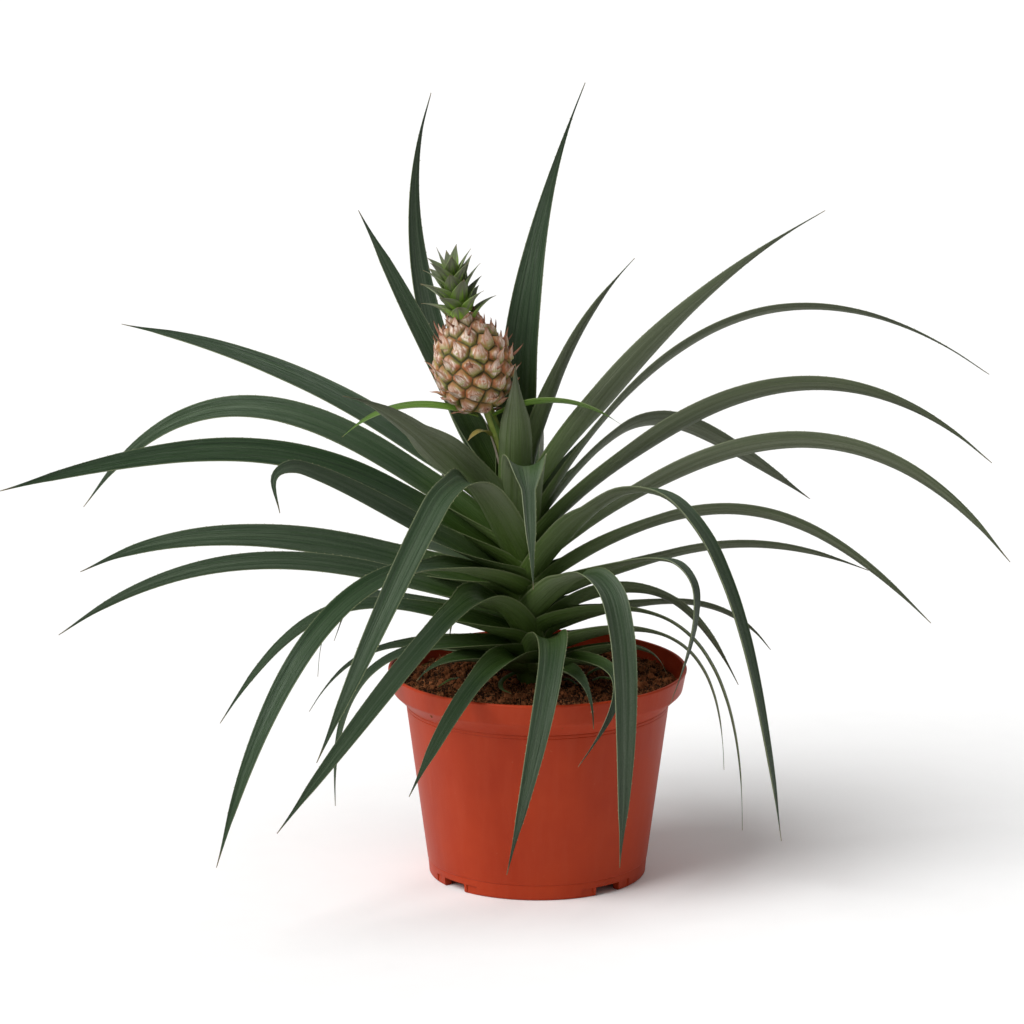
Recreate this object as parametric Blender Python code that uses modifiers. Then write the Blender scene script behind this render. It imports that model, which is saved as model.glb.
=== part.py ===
# A potted pineapple plant: arching strap leaves round a short stem, and one small fruit with its leafy
# crown on a leaning stalk, growing in a round nursery pot.
#
# Metres, +Z up. The origin is the middle of the pot's underside. -Y is the front, +X the right.
# Lengths below are in millimetres (they are multiplied by MM where a mesh is made), angles in degrees.
import math

import bmesh
import bpy
from mathutils import Matrix, Vector

MM = 0.001
GAP = 0.3                   # air left between pieces that touch

# Pot
POT_HEIGHT = 106.0
POT_STEPS = 48
RIM_RADIUS = 75.0           # outside, at the lip
BAND_RADIUS = 72.8          # outside, where the rim band ends and its slope begins
BAND_HEIGHT = 11.0
SLOPE_HEIGHT = 6.0          # the slope that runs in from the band to the body
BODY_TOP_RADIUS = 66.2      # outside, at the bottom of the slope
FOOT_RADIUS = 54.5
WALL = 1.5
FLOOR_RECESS = 4.5          # the floor is held this far off the ground by the foot ring
FLOOR_THICKNESS = 1.8
PAD_RADIUS = 14.0           # flat middle pad, level with the foot ring
NOTCH_WIDTH = 15.0
NOTCH_FACINGS = (40, 130, 220, 310)
POCKET_WIDTH = 6.5
POCKET_DEPTH = 0.7
POCKET_GAP = 1.6            # wall left between a notch and the pocket beside it
DRAIN_RADIUS = 4.0
DRAIN_REACH = 37.0

# Potting mix
MIX_EDGE_HEIGHT = 97.0
MIX_CROWN_HEIGHT = 100.5

# Stem: buried end, straight up, then leaning a little to the left
STEM_BOTTOM = 72.0
STEM_TOP = 198.0
STEM_LEAN_FROM = 95.0
STEM_LEAN = -0.11           # sideways travel for each unit of height
STEM_RADIUS_LOW = 9.0
STEM_RADIUS_TOP = 6.0

# Stalk, fruit and crown
STALK_RADIUS = 2.8
FRUIT_BOTTOM = (-27.0, -2.0, 238.5)
FRUIT_LENGTH = 50.0
FRUIT_RADIUS = 20.5
FRUIT_LEAN = -13.0
CROWN_HEIGHT = 34.0
CROWN_CORE_RADIUS = 5.0

# Leaves
LEAF_SEGMENTS = 11
LEAF_THICKNESS = 1.2
LEAF_TIP_WIDTH = 0.9
KEEL = 0.2                  # depth of the channel, as a share of the width
ROLL_BY = 0.4               # share of the length at which the roll is complete

# Every leaf starts at the stem at its foot height, heads for its shoulder and ends at its tip. Shoulder
# and tip are given as reach out from the stem's axis and height above the ground. Pull sharpens the bend
# at the shoulder, swerve carries the tip sideways (anticlockwise, seen from above), and roll turns the
# blade about its own length. Taper is how early the blade narrows: 0.85 is a strap, 1.6 a lance.
# facing, foot, shoulder reach, shoulder height, tip reach, tip height, width, pull, swerve, roll, taper
LEAVES = (
    (290, 103, 80, 132, 82, 95, 5, 1.0, 0, 0, 0.85),
    (352, 104, 58, 130, 66, 105, 5, 1.0, 0, 10, 0.85),
    (216, 104, 55, 127, 73, 110, 5, 1.0, 0, 10, 0.85),
    (100, 106, 90, 140, 120, 60, 8, 1.0, 0, 20, 0.85),
    (312, 107, 98, 138, 80, 79, 6, 1.0, -44, 0, 0.85),
    (172, 107, 85, 131, 115, 78, 5, 1.2, 0, 30, 0.85),
    (245, 109, 56, 134, 144, 76, 10, 1.2, 0, 10, 0.85),
    (204, 113, 112, 146, 108, 46, 6, 1.1, 0, 20, 0.85),
    (286, 113, 76, 172, 126, 38, 13, 1.0, -50, 0, 1.0),
    (340, 114, 98, 162, 101, 62, 7, 1.0, 0, 20, 0.85),
    (155, 118, 117, 155, 121, 87, 6, 1.3, 0, 30, 0.85),
    (90, 118, 110, 165, 150, 50, 9, 1.0, 0, 20, 0.85),
    (30, 122, 105, 146, 142, 96, 6, 1.0, 0, 42, 0.85),
    (200, 120, 110, 171, 164, 92, 8, 1.5, 0, 35, 0.85),
    (338, 127, 112, 178, 114, 33, 7, 1.0, 0, 20, 0.85),
    (225, 126, 38, 162, 174, 55, 13, 3.0, 0, 15, 0.85),
    (20, 130, 76, 160, 113, 86, 6, 1.3, 0, 45, 0.85),
    (104, 130, 120, 180, 175, 75, 10, 1.0, 0, 20, 0.85),
    (189, 132, 145, 196, 236, 132, 11, 1.1, 0, 48, 0.85),
    (303, 135, 101, 219, 100, 28, 16, 1.2, -12, 0, 0.85),
    (15, 138, 104, 178, 179, 144, 7, 1.3, 0, 55, 0.85),
    (325, 143, 135, 215, 100, 107, 9, 1.1, -21, 10, 0.85),
    (132, 140, 105, 187, 150, 90, 10, 1.0, 0, 20, 0.85),
    (176, 143, 146, 195, 225, 151, 14, 1.0, 0, 58, 0.85),
    (93, 144, 110, 215, 185, 105, 11, 1.0, 0, 20, 0.85),
    (5, 148, 111, 223, 205, 124, 8, 1.25, 0, 60, 0.85),
    (225, 146, 140, 224, 211, 46, 15, 1.0, 0, 10, 0.85),
    (320, 154, 118, 302, 163, 46, 15, 1.0, 0, 15, 0.85),
    (214, 152, 164, 253, 156, 210, 15, 1.6, 20, 44, 0.85),
    (0, 158, 147, 285, 243, 160, 12, 1.0, 0, 62, 0.85),
    (110, 158, 92, 236, 150, 135, 12, 1.0, 0, 20, 0.85),
    (190, 158, 114, 243, 262, 207, 16, 1.6, 0, 44, 0.85),
    (240, 163, 62, 232, 196, 104, 15, 4.0, 0, 15, 0.85),
    (5, 171, 132, 305, 237, 206, 13, 1.0, 0, 62, 1.1),
    (168, 166, 150, 288, 227, 177, 15, 1.1, 0, 46, 0.85),
    (275, 174, 28, 240, 73, 164, 16, 2.0, 0, 0, 0.85),
    (86, 168, 80, 246, 150, 165, 12, 1.0, 0, 20, 0.85),
    (42, 177, 86, 240, 204, 160, 11, 2.4, 0, 55, 0.85),
    (149, 180, 101, 249, 239, 256, 16, 1.0, 0, 22, 0.85),
    (22, 180, 112, 343, 260, 235, 13, 1.0, 0, 42, 1.5),
    (215, 184, 70, 250, 104, 258, 15, 1.0, 0, -45, 1.0),
    (355, 191, 62, 288, 152, 341, 17, 1.0, 0, 56, 1.4),
    (150, 194, 48, 262, 91, 330, 12, 1.0, 0, 35, 0.85),
    (126, 187, 124, 290, 99, 382, 15, 1.0, -18, 10, 1.2),
    (93, 200, 22, 310, 66, 391, 19, 1.0, -39, 0, 1.6),
    (14, 198, 17, 268, 66, 308, 11, 1.0, 18, 55, 1.1),
    (270, 196, 15, 240, 15, 264, 11, 1.0, 0, 0, 0.85),
)
# The same, for the small leaves on the stalk, whose reach is from the stalk
STALK_LEAVES = (
    (182, 235, 45, 250, 72, 225, 3.6, 1.0, 0, 20, 0.85),
    (345, 236, 40, 253, 69, 235, 5.5, 1.0, 0, 20, 0.85),
    (235, 226, 12, 233, 24, 227, 2.6, 1.0, 0, 0, 0.85),
)


def clear_scene():
    for thing in list(bpy.data.objects):
        bpy.data.objects.remove(thing, do_unlink=True)


def new_collection(name):
    collection = bpy.data.collections.new(name)
    bpy.context.scene.collection.children.link(collection)
    return collection


def material(name, colour, roughness, metallic=0.0):
    made = bpy.data.materials.new(name)
    made.use_nodes = True
    shader = made.node_tree.nodes["Principled BSDF"]
    shader.inputs["Base Color"].default_value = (*colour, 1.0)
    shader.inputs["Roughness"].default_value = roughness
    shader.inputs["Metallic"].default_value = metallic
    made.diffuse_color = (*colour, 1.0)
    return made


def move_to(thing, collection):
    for other in list(thing.users_collection):
        other.objects.unlink(thing)
    collection.objects.link(thing)


def add_object(name, data, collection, look=None):
    thing = bpy.data.objects.new(name, data)
    collection.objects.link(thing)
    if look:
        data.materials.append(look)
    return thing


def from_bmesh(name, bm, collection, look=None):
    mesh = bpy.data.meshes.new(name)
    bm.to_mesh(mesh)
    bm.free()
    return add_object(name, mesh, collection, look)


def turned(name, outline, collection, look, steps=POT_STEPS):
    """A solid of revolution about Z. The outline goes up its inner side and down its outer side."""
    bm = bmesh.new()
    points = [bm.verts.new((reach * MM, 0, height * MM)) for reach, height in outline]
    for first, second in zip(points, points[1:]):
        bm.edges.new((first, second))
    thing = from_bmesh(name, bm, collection, look)
    spin = thing.modifiers.new("turn", "SCREW")
    spin.steps = steps
    spin.render_steps = steps
    spin.use_merge_vertices = True
    spin.merge_threshold = 0.00001
    spin.use_normal_calculate = False
    return thing


def tube(name, points, radii, collection, look, sides_level=2):
    """A tapering POLY curve with filled caps."""
    curve = bpy.data.curves.new(name, "CURVE")
    curve.dimensions = "3D"
    curve.bevel_depth = MM
    curve.bevel_resolution = sides_level
    curve.use_fill_caps = True
    spline = curve.splines.new("POLY")
    spline.points.add(len(points) - 1)
    for spot, point, radius in zip(spline.points, points, radii):
        spot.co = (*(Vector(point) * MM), 1)
        spot.radius = radius
    return add_object(name, curve, collection, look)


def box_cutter(bm, size, matrix):
    made = bmesh.ops.create_cube(bm, size=1.0)
    bmesh.ops.transform(bm, matrix=matrix @ Matrix.Diagonal((*(Vector(size) * MM), 1)), verts=made["verts"])


def outward(facing, reach, height):
    """The turn and shift that put a cutter at a facing, reach and height."""
    shift = Matrix.Translation(Vector((reach, 0, height)) * MM)
    return Matrix.Rotation(math.radians(facing), 4, "Z") @ shift


def build_pot(collection, cutters, look):
    band_bottom = POT_HEIGHT - BAND_HEIGHT
    slope_bottom = band_bottom - SLOPE_HEIGHT
    inner_floor = FLOOR_RECESS + FLOOR_THICKNESS
    outline = [
        (0, inner_floor),
        (FOOT_RADIUS - WALL - 2, inner_floor),
        (FOOT_RADIUS - WALL, inner_floor + 2),
        (BODY_TOP_RADIUS - WALL, slope_bottom + 0.8),
        (BAND_RADIUS - WALL, band_bottom + 0.8),
        (RIM_RADIUS - WALL, POT_HEIGHT - 1),
        (RIM_RADIUS - WALL * 0.5, POT_HEIGHT),
        (RIM_RADIUS, POT_HEIGHT - 1),
        (BAND_RADIUS, band_bottom),
        (BODY_TOP_RADIUS, slope_bottom),
        (FOOT_RADIUS + 1, 7.5),
        (FOOT_RADIUS, 1),
        (FOOT_RADIUS - 0.8, 0),
        (FOOT_RADIUS - 3.2, 0),
        (FOOT_RADIUS - 4, FLOOR_RECESS),
        (PAD_RADIUS + 1, FLOOR_RECESS),
        (PAD_RADIUS, 0),
        (0, 0),
    ]
    pot = turned("pot", outline, collection, look)

    bm = bmesh.new()
    notch = (12, NOTCH_WIDTH, FLOOR_RECESS * 2)
    pocket = (POCKET_DEPTH * 2, POCKET_WIDTH, FLOOR_RECESS * 2)
    pocket_turn = math.degrees((NOTCH_WIDTH / 2 + POCKET_GAP + POCKET_WIDTH / 2) / FOOT_RADIUS)
    for facing in NOTCH_FACINGS:
        box_cutter(bm, notch, outward(facing, FOOT_RADIUS - 2, 0))
        for side in (-1, 1):
            box_cutter(bm, pocket, outward(facing + side * pocket_turn, FOOT_RADIUS + 0.3, 0))
        spot = outward(facing, DRAIN_REACH, FLOOR_RECESS)
        bmesh.ops.create_cone(bm, segments=12, radius1=DRAIN_RADIUS * MM, radius2=DRAIN_RADIUS * MM,
                              depth=10 * MM, cap_ends=True, matrix=spot)
    cutter = from_bmesh("pot_cutter", bm, cutters)
    cutter.hide_render = True
    cutter.display_type = "WIRE"
    cut = pot.modifiers.new("notches", "BOOLEAN")
    cut.object = cutter
    cut.operation = "DIFFERENCE"
    return pot


def build_mix(collection, look):
    """The potting mix fills the pot to under the rim, with a pocket for the buried end of the stem."""
    band_bottom = POT_HEIGHT - BAND_HEIGHT
    slope_bottom = band_bottom - SLOPE_HEIGHT
    floor = FLOOR_RECESS + FLOOR_THICKNESS + GAP
    inside = WALL + GAP * 1.5
    pocket = STEM_RADIUS_LOW + GAP * 4       # room for the start of the stem's lean
    outline = [
        (0, STEM_BOTTOM - GAP),
        (pocket, STEM_BOTTOM - GAP),
        (pocket, MIX_CROWN_HEIGHT),
        (30, MIX_CROWN_HEIGHT - 0.6),
        (55, MIX_EDGE_HEIGHT + 1),
        (BAND_RADIUS - inside, MIX_EDGE_HEIGHT),
        (BAND_RADIUS - inside, band_bottom + 1),
        (BODY_TOP_RADIUS - inside, slope_bottom + 1),
        (FOOT_RADIUS - inside, floor + 2),
        (FOOT_RADIUS - inside - 2, floor),
        (0, floor),
    ]
    return turned("potting_mix", outline, collection, look, steps=36)


def stem_axis(height):
    """The stem's middle at a height."""
    return Vector((STEM_LEAN * max(0, height - STEM_LEAN_FROM), 0, height))


def stem_radius(height):
    share = min(1, max(0, (height - STEM_LEAN_FROM) / (STEM_TOP - STEM_LEAN_FROM)))
    return STEM_RADIUS_LOW + (STEM_RADIUS_TOP - STEM_RADIUS_LOW) * share


def build_stem(collection, look):
    heights = (STEM_BOTTOM, STEM_LEAN_FROM, 120, 145, 170, 190, STEM_TOP)
    radii = [stem_radius(height) for height in heights]
    radii[-1] = STEM_RADIUS_TOP * 0.6
    return tube("stem", [stem_axis(height) for height in heights], radii, collection, look, 3)


def stalk_point(share):
    """A point on the stalk's middle, from the stem's top to just under the fruit."""
    start = stem_axis(STEM_TOP) + Vector((0, 0, GAP * 4))
    end = Vector(FRUIT_BOTTOM) - Vector((0, 0, GAP * 4))
    bow = Vector((1.5, -1.0, 0))
    return start.lerp(end, share) + bow * math.sin(math.pi * share)


def build_stalk(collection, look):
    shares = [number / 6 for number in range(7)]
    radii = [STALK_RADIUS + 0.5 * (1 - share) for share in shares]
    return tube("fruit_stalk", [stalk_point(share) for share in shares], radii, collection, look)


def fruit_place():
    lean = Matrix.Rotation(math.radians(FRUIT_LEAN), 4, "Y")
    return Matrix.Translation(Vector(FRUIT_BOTTOM) * MM) @ lean


def build_fruit(collection, look):
    """An egg that is widest a little below its middle, with flat ends for the stalk and the crown."""
    outline = [(0, FRUIT_LENGTH)]
    rings = 11
    for number in range(rings + 1):
        share = 1 - number / rings
        height = 0.02 + 0.96 * share
        swell = math.sin(math.pi * height ** 0.88) ** 0.62
        outline.append((max(4.0, FRUIT_RADIUS * swell), FRUIT_LENGTH * share))
    outline.append((0, 0))
    fruit = turned("fruit", outline, collection, look, steps=20)
    fruit.matrix_world = fruit_place()
    return fruit


def build_crown(collection, look):
    """Pointed leaves drawn out of the faces of a small core, in three rings that open less going up."""
    sides = 7
    rings = ((0.0, 1.0), (5.0, 1.15), (10.0, 1.0), (15.0, 0.75))
    bm = bmesh.new()
    loops = []
    for number, (height, swell) in enumerate(rings):
        ring = []
        for side in range(sides):
            angle = 2 * math.pi * (side + 0.5 * number) / sides
            reach = CROWN_CORE_RADIUS * swell
            ring.append(bm.verts.new((reach * MM * math.cos(angle), reach * MM * math.sin(angle), height * MM)))
        loops.append(ring)
    growing = []
    for level, (low, high) in enumerate(zip(loops, loops[1:])):
        for side in range(sides):
            after = (side + 1) % sides
            growing.append((level, bm.faces.new((low[side], low[after], high[side]))))
            bm.faces.new((low[after], high[after], high[side]))
    bm.faces.new(list(reversed(loops[0])))
    growing.append((3, bm.faces.new(loops[-1])))
    opening = (58, 38, 20, 0)       # lean from upright of each ring's leaves
    length = (17, 20, 18, CROWN_HEIGHT - 15)
    for level, face in growing:
        middle = face.calc_center_median()
        side_way = Vector((middle.x, middle.y, 0))
        if side_way.length > 0:
            side_way.normalize()
        lean = math.radians(opening[level])
        aim = side_way * math.sin(lean) + Vector((0, 0, math.cos(lean)))
        for share, narrow in ((0.55, 0.75), (0.45, 0.14)):
            made = bmesh.ops.extrude_discrete_faces(bm, faces=[face])
            face = made["faces"][0]
            centre = face.calc_center_median()
            for vert in face.verts:
                vert.co = centre + (vert.co - centre) * narrow + aim * (length[level] * share * MM)
            aim = (aim + side_way * 0.25).normalized()
    bmesh.ops.recalc_face_normals(bm, faces=bm.faces)
    crown = from_bmesh("crown", bm, collection, look)
    crown.matrix_world = fruit_place() @ Matrix.Translation(Vector((0, 0, FRUIT_LENGTH + GAP)) * MM)
    return crown


def leaf_width(share, taper):
    """Width at a share of the length: a narrower foot, widest in the lower third, then a long taper."""
    foot = 0.62 + 0.38 * math.sin(min(1, share / 0.22) * math.pi / 2)
    narrowing = 2.1 * (1 - share) ** taper
    return foot * narrowing / (1 + narrowing ** 4) ** 0.25


def build_leaf(name, root, start_reach, row, collection, look):
    """A channelled strap along a conic from foot to tip, bent towards its shoulder."""
    facing, foot, shoulder_reach, shoulder_height, tip_reach, tip_height = row[:6]
    width, pull, swerve, roll, taper = row[6:]
    angle = math.radians(facing)
    ahead = Vector((math.cos(angle), math.sin(angle), 0))
    aside = Vector((-math.sin(angle), math.cos(angle), 0))
    up = Vector((0, 0, 1))

    def place(step):
        weights = ((1 - step) ** 2, 2 * pull * step * (1 - step), step ** 2)
        total = sum(weights)
        reach = (weights[0] * start_reach + weights[1] * shoulder_reach + weights[2] * tip_reach) / total
        height = (weights[0] * foot + weights[1] * shoulder_height + weights[2] * tip_height) / total
        flat_root = Vector((root.x, root.y, 0))
        return flat_root + ahead * reach + up * height + aside * (swerve * step ** 2)

    spots = [place(number / 200) for number in range(201)]
    travel = [0.0]
    for first, second in zip(spots, spots[1:]):
        travel.append(travel[-1] + (second - first).length)

    def along(share):
        wanted = share * travel[-1]
        for number in range(200):
            if travel[number + 1] >= wanted:
                part = (wanted - travel[number]) / (travel[number + 1] - travel[number])
                return spots[number].lerp(spots[number + 1], part)
        return spots[-1]

    bpy.ops.mesh.primitive_grid_add(x_subdivisions=2, y_subdivisions=LEAF_SEGMENTS, size=2)
    leaf = bpy.context.object
    leaf.name = name
    leaf.data.name = name
    move_to(leaf, collection)
    leaf.data.materials.append(look)
    for vert in leaf.data.vertices:
        across, share = vert.co.x, (vert.co.y + 1) / 2
        middle = along(share)
        heading = (along(min(1, share + 0.01)) - along(max(0, share - 0.01))).normalized()
        side = (aside - heading * aside.dot(heading)).normalized()
        turn = math.radians(roll) * math.sin(min(1, share / ROLL_BY) * math.pi / 2)
        side = Matrix.Rotation(-turn, 3, heading) @ side
        face_up = heading.cross(side).normalized()
        wide = max(LEAF_TIP_WIDTH, width * leaf_width(share, taper))
        edge_lift = KEEL * wide * abs(across)
        vert.co = (middle + side * (-across * wide / 2) + face_up * edge_lift) * MM
    shell = leaf.modifiers.new("thickness", "SOLIDIFY")
    shell.thickness = LEAF_THICKNESS * MM
    shell.offset = 0
    leaf.data.shade_smooth()
    return leaf


def main():
    clear_scene()
    plant = new_collection("potted_pineapple_plant")
    cutters = new_collection("cutters")

    plastic = material("terracotta_plastic", (0.42, 0.085, 0.04), 0.42)
    soil = material("potting_mix", (0.09, 0.035, 0.018), 0.95)
    stem_green = material("stem_green", (0.16, 0.24, 0.06), 0.6)
    leaf_green = material("leaf_green", (0.045, 0.11, 0.06), 0.42)
    bright_green = material("bright_leaf_green", (0.12, 0.24, 0.05), 0.45)
    rind = material("fruit_rind", (0.5, 0.26, 0.15), 0.6)

    build_pot(plant, cutters, plastic)
    build_mix(plant, soil)
    build_stem(plant, stem_green)
    build_stalk(plant, stem_green)
    build_fruit(plant, rind)
    build_crown(plant, leaf_green)
    for number, row in enumerate(LEAVES):
        foot = row[1]
        reach = stem_radius(foot) + 1.6
        build_leaf(f"leaf_{number + 1:02d}", stem_axis(foot), reach, row, plant, leaf_green)
    for name, row in zip(("stalk_leaf_left", "stalk_leaf_right", "stalk_bract"), STALK_LEAVES):
        root = stalk_point((row[1] - STEM_TOP) / (FRUIT_BOTTOM[2] - STEM_TOP))
        build_leaf(name, root, STALK_RADIUS + 1.6, row, plant, bright_green)


main()
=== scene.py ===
import math
import random

import bmesh
import bpy
import numpy as np
from mathutils import Matrix, Vector, noise


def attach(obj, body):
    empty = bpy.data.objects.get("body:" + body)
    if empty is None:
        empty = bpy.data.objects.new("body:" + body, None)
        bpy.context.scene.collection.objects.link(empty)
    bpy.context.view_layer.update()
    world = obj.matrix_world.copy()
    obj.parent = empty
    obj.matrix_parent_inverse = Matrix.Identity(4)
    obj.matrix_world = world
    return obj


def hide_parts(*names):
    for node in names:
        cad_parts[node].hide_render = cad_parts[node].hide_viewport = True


# Potted pineapple: arching leaves, one small fruit on a leaning stalk, in a plastic nursery pot.
# Metres, +Z up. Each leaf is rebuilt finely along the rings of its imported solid.

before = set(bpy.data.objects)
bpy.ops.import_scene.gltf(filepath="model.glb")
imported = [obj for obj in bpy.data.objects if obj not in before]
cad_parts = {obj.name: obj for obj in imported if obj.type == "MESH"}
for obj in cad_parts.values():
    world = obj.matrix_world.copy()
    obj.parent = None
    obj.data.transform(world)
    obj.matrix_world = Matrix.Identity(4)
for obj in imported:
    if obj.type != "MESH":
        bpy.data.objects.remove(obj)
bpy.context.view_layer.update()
scene = bpy.context.scene
print("frame loaded:", len(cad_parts), "nodes")


# Helpers for node trees and meshes

def addNode(tree, kind, values=None, **settings):
    node = tree.nodes.new(kind)
    for name, value in settings.items():
        setattr(node, name, value)
    for name, value in (values or {}).items():
        if isinstance(value, bpy.types.NodeSocket):
            tree.links.new(value, node.inputs[name])
        else:
            node.inputs[name].default_value = value
    return node


def newMaterial(name, rough=0.5, specular=0.5):
    made = bpy.data.materials.new(name)
    made.use_nodes = True
    shader = made.node_tree.nodes["Principled BSDF"]
    shader.inputs["Roughness"].default_value = rough
    shader.inputs["Specular IOR Level"].default_value = specular
    return made, made.node_tree, shader


def connect(tree, socket, target):
    tree.links.new(socket, target)


def mathOf(tree, operation, first, second=0.0, clamp=False):
    node = addNode(tree, "ShaderNodeMath", {0: first, 1: second}, operation=operation)
    node.use_clamp = clamp
    return node.outputs[0]


def times(tree, first, second, clamp=False):
    return mathOf(tree, "MULTIPLY", first, second, clamp)


def vectorOf(tree, x, y, z):
    return addNode(tree, "ShaderNodeCombineXYZ", {0: x, 1: y, 2: z}).outputs[0]


def randomOf(tree, low, high, seed):
    values = {2: low, 3: high, "Seed": seed}
    return addNode(tree, "FunctionNodeRandomValue", values, data_type="FLOAT").outputs[1]


def storedVector(tree, name):
    kind = "GeometryNodeInputNamedAttribute"
    return addNode(tree, kind, {"Name": name}, data_type="FLOAT_VECTOR").outputs[0]


def remap(tree, value, low, high, toLow=0.0, toHigh=1.0):
    values = {"Value": value, "From Min": low, "From Max": high, "To Min": toLow, "To Max": toHigh}
    return addNode(tree, "ShaderNodeMapRange", values).outputs[0]


def mixColour(tree, share, first, second):
    node = addNode(tree, "ShaderNodeMix", data_type="RGBA")
    for index, value in ((0, share), (6, first), (7, second)):
        if isinstance(value, bpy.types.NodeSocket):
            tree.links.new(value, node.inputs[index])
        elif index:
            node.inputs[index].default_value = (*value, 1.0)
        else:
            node.inputs[index].default_value = value
    return node.outputs[2]


def noiseOf(tree, vector, scale, detail=3.0, rough=0.55):
    values = {"Vector": vector, "Scale": scale, "Detail": detail, "Roughness": rough}
    return addNode(tree, "ShaderNodeTexNoise", values).outputs[0]


def objectSpot(tree):
    return addNode(tree, "ShaderNodeTexCoord").outputs["Object"]


def attributeOf(tree, name):
    return addNode(tree, "ShaderNodeAttribute", attribute_name=name).outputs["Fac"]


def stretched(tree, vector, scale):
    return addNode(tree, "ShaderNodeMapping", {"Vector": vector, "Scale": scale}).outputs[0]


def bumpOf(tree, height, distance, normal=None):
    values = {"Height": height, "Distance": distance}
    if normal:
        values["Normal"] = normal
    return addNode(tree, "ShaderNodeBump", values).outputs[0]


def newPiece(name, mesh, *looks):
    piece = bpy.data.objects.new(name, mesh)
    scene.collection.objects.link(piece)
    for look in looks:
        mesh.materials.append(look)
    return piece


def meshFrom(name, spots, faces, edges=()):
    mesh = bpy.data.meshes.new(name)
    mesh.from_pydata([tuple(spot) for spot in spots], edges, faces)
    mesh.update()
    return mesh


def joined(name, meshes):
    bm = bmesh.new()
    for mesh in meshes:
        bm.from_mesh(mesh)
        bpy.data.meshes.remove(mesh)
    whole = bpy.data.meshes.new(name)
    bm.to_mesh(whole)
    bm.free()
    return whole


def circle(reach, steps):
    turns = [2 * math.pi * step / steps for step in range(steps)]
    return [(reach * math.cos(turn), reach * math.sin(turn)) for turn in turns]


def ringFaces(rows, steps, first=0, turned=False):
    # quads between rings of vertices that follow each other
    faces = []
    for row in range(rows):
        low, high = first + row * steps, first + (row + 1) * steps
        for step in range(steps):
            after = (step + 1) % steps
            if turned:
                faces.append((low + step, high + step, high + after, low + after))
            else:
                faces.append((low + step, low + after, high + after, high + step))
    return faces


def setFloat(mesh, name, values):
    mesh.attributes.new(name, "FLOAT", "POINT").data.foreach_set("value", np.asarray(values, np.float32))


def setVector(mesh, name, values):
    made = mesh.attributes.new(name, "FLOAT_VECTOR", "POINT")
    made.data.foreach_set("vector", np.asarray(values, np.float32).ravel())


def smooth(mesh, angle=40):
    mesh.shade_smooth()
    mesh.set_sharp_from_angle(angle=math.radians(angle))


def ease(low, high, value):
    share = np.clip((np.asarray(value, float) - low) / (high - low), 0, 1)
    return share * share * (3 - 2 * share)


def unit(vectors):
    return vectors / np.maximum(np.linalg.norm(vectors, axis=-1, keepdims=True), 1e-12)


def through(points, count):
    points = np.asarray(points, float)
    if points.ndim == 1:
        points = points[:, None]
    padded = np.vstack([2 * points[0] - points[1], points, 2 * points[-1] - points[-2]])
    place = np.linspace(0, len(points) - 1, count)
    first = np.minimum(place.astype(int), len(points) - 2)
    t = (place - first)[:, None]
    a, b, c, d = (padded[first + number] for number in range(4))
    square, cube = 2 * a - 5 * b + 4 * c - d, 3 * b - a - 3 * c + d
    return 0.5 * (2 * b + (c - a) * t + square * t ** 2 + cube * t ** 3)


def evaluated(thing):
    # the mesh that a piece's modifiers make; the piece itself goes
    view = bpy.context.evaluated_depsgraph_get()
    final = thing.evaluated_get(view)
    mesh = bpy.data.meshes.new_from_object(final, preserve_all_data_layers=True, depsgraph=view)
    bpy.data.objects.remove(thing)
    mesh.materials.clear()
    return mesh


def bakeNodes(holder, name, look):
    mesh = evaluated(holder)
    mesh.name = name
    piece = newPiece(name, mesh, look)
    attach(piece, "root")
    return piece


def applyTree(holder, tree, inputs):
    modifier = holder.modifiers.new(tree.name, "NODES")
    modifier.node_group = tree
    for item in tree.interface.items_tree:
        if item.item_type == "SOCKET" and item.in_out == "INPUT" and item.name in inputs:
            modifier[item.identifier] = inputs[item.name]


def newTree(name, sockets):
    # sockets: the tree's own inputs by name, after the geometry
    tree = bpy.data.node_groups.new(name, "GeometryNodeTree")
    tree.interface.new_socket("Geometry", in_out="INPUT", socket_type="NodeSocketGeometry")
    for label, kind in sockets.items():
        tree.interface.new_socket(label, in_out="INPUT", socket_type="NodeSocket" + kind)
    tree.interface.new_socket("Geometry", in_out="OUTPUT", socket_type="NodeSocketGeometry")
    return tree, tree.nodes.new("NodeGroupInput").outputs


def tinted(tree, put, seed):
    # a random number from 0 to 1 for each placed shape
    values = {"Geometry": put.outputs[0], "Name": "tint", "Value": randomOf(tree, 0.0, 1.0, seed)}
    store = addNode(tree, "GeometryNodeStoreNamedAttribute", values, data_type="FLOAT", domain="INSTANCE")
    return store.outputs[0]


def endTree(tree, geometry, look):
    real = addNode(tree, "GeometryNodeRealizeInstances", {"Geometry": geometry})
    paint = addNode(tree, "GeometryNodeSetMaterial", {"Geometry": real.outputs[0]})
    paint.inputs["Material"].default_value = look
    last = tree.nodes.new("NodeGroupOutput")
    tree.links.new(paint.outputs[0], last.inputs[0])


# Camera, light and floor

camera = dict(target=(-0.0128, 0.0, 0.1857), distance=3.0, lookDown=13.5, lens=211.5)
light = dict(world=0.30, sun=3.45, sunAngle=44, sunTurn=(45, 0, -61), rim=0.30, rimAngle=50,
             rimTurn=(55, 0, 150))


def placeCamera():
    down = math.radians(camera["lookDown"])
    target = Vector(camera["target"])
    data = bpy.data.cameras.new("camera")
    data.lens = camera["lens"]
    data.clip_end = 60
    thing = bpy.data.objects.new("camera", data)
    scene.collection.objects.link(thing)
    thing.location = target + Vector((0, -math.cos(down), math.sin(down))) * camera["distance"]
    thing.rotation_euler = (math.radians(90) - down, 0, 0)
    scene.camera = thing


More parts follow.
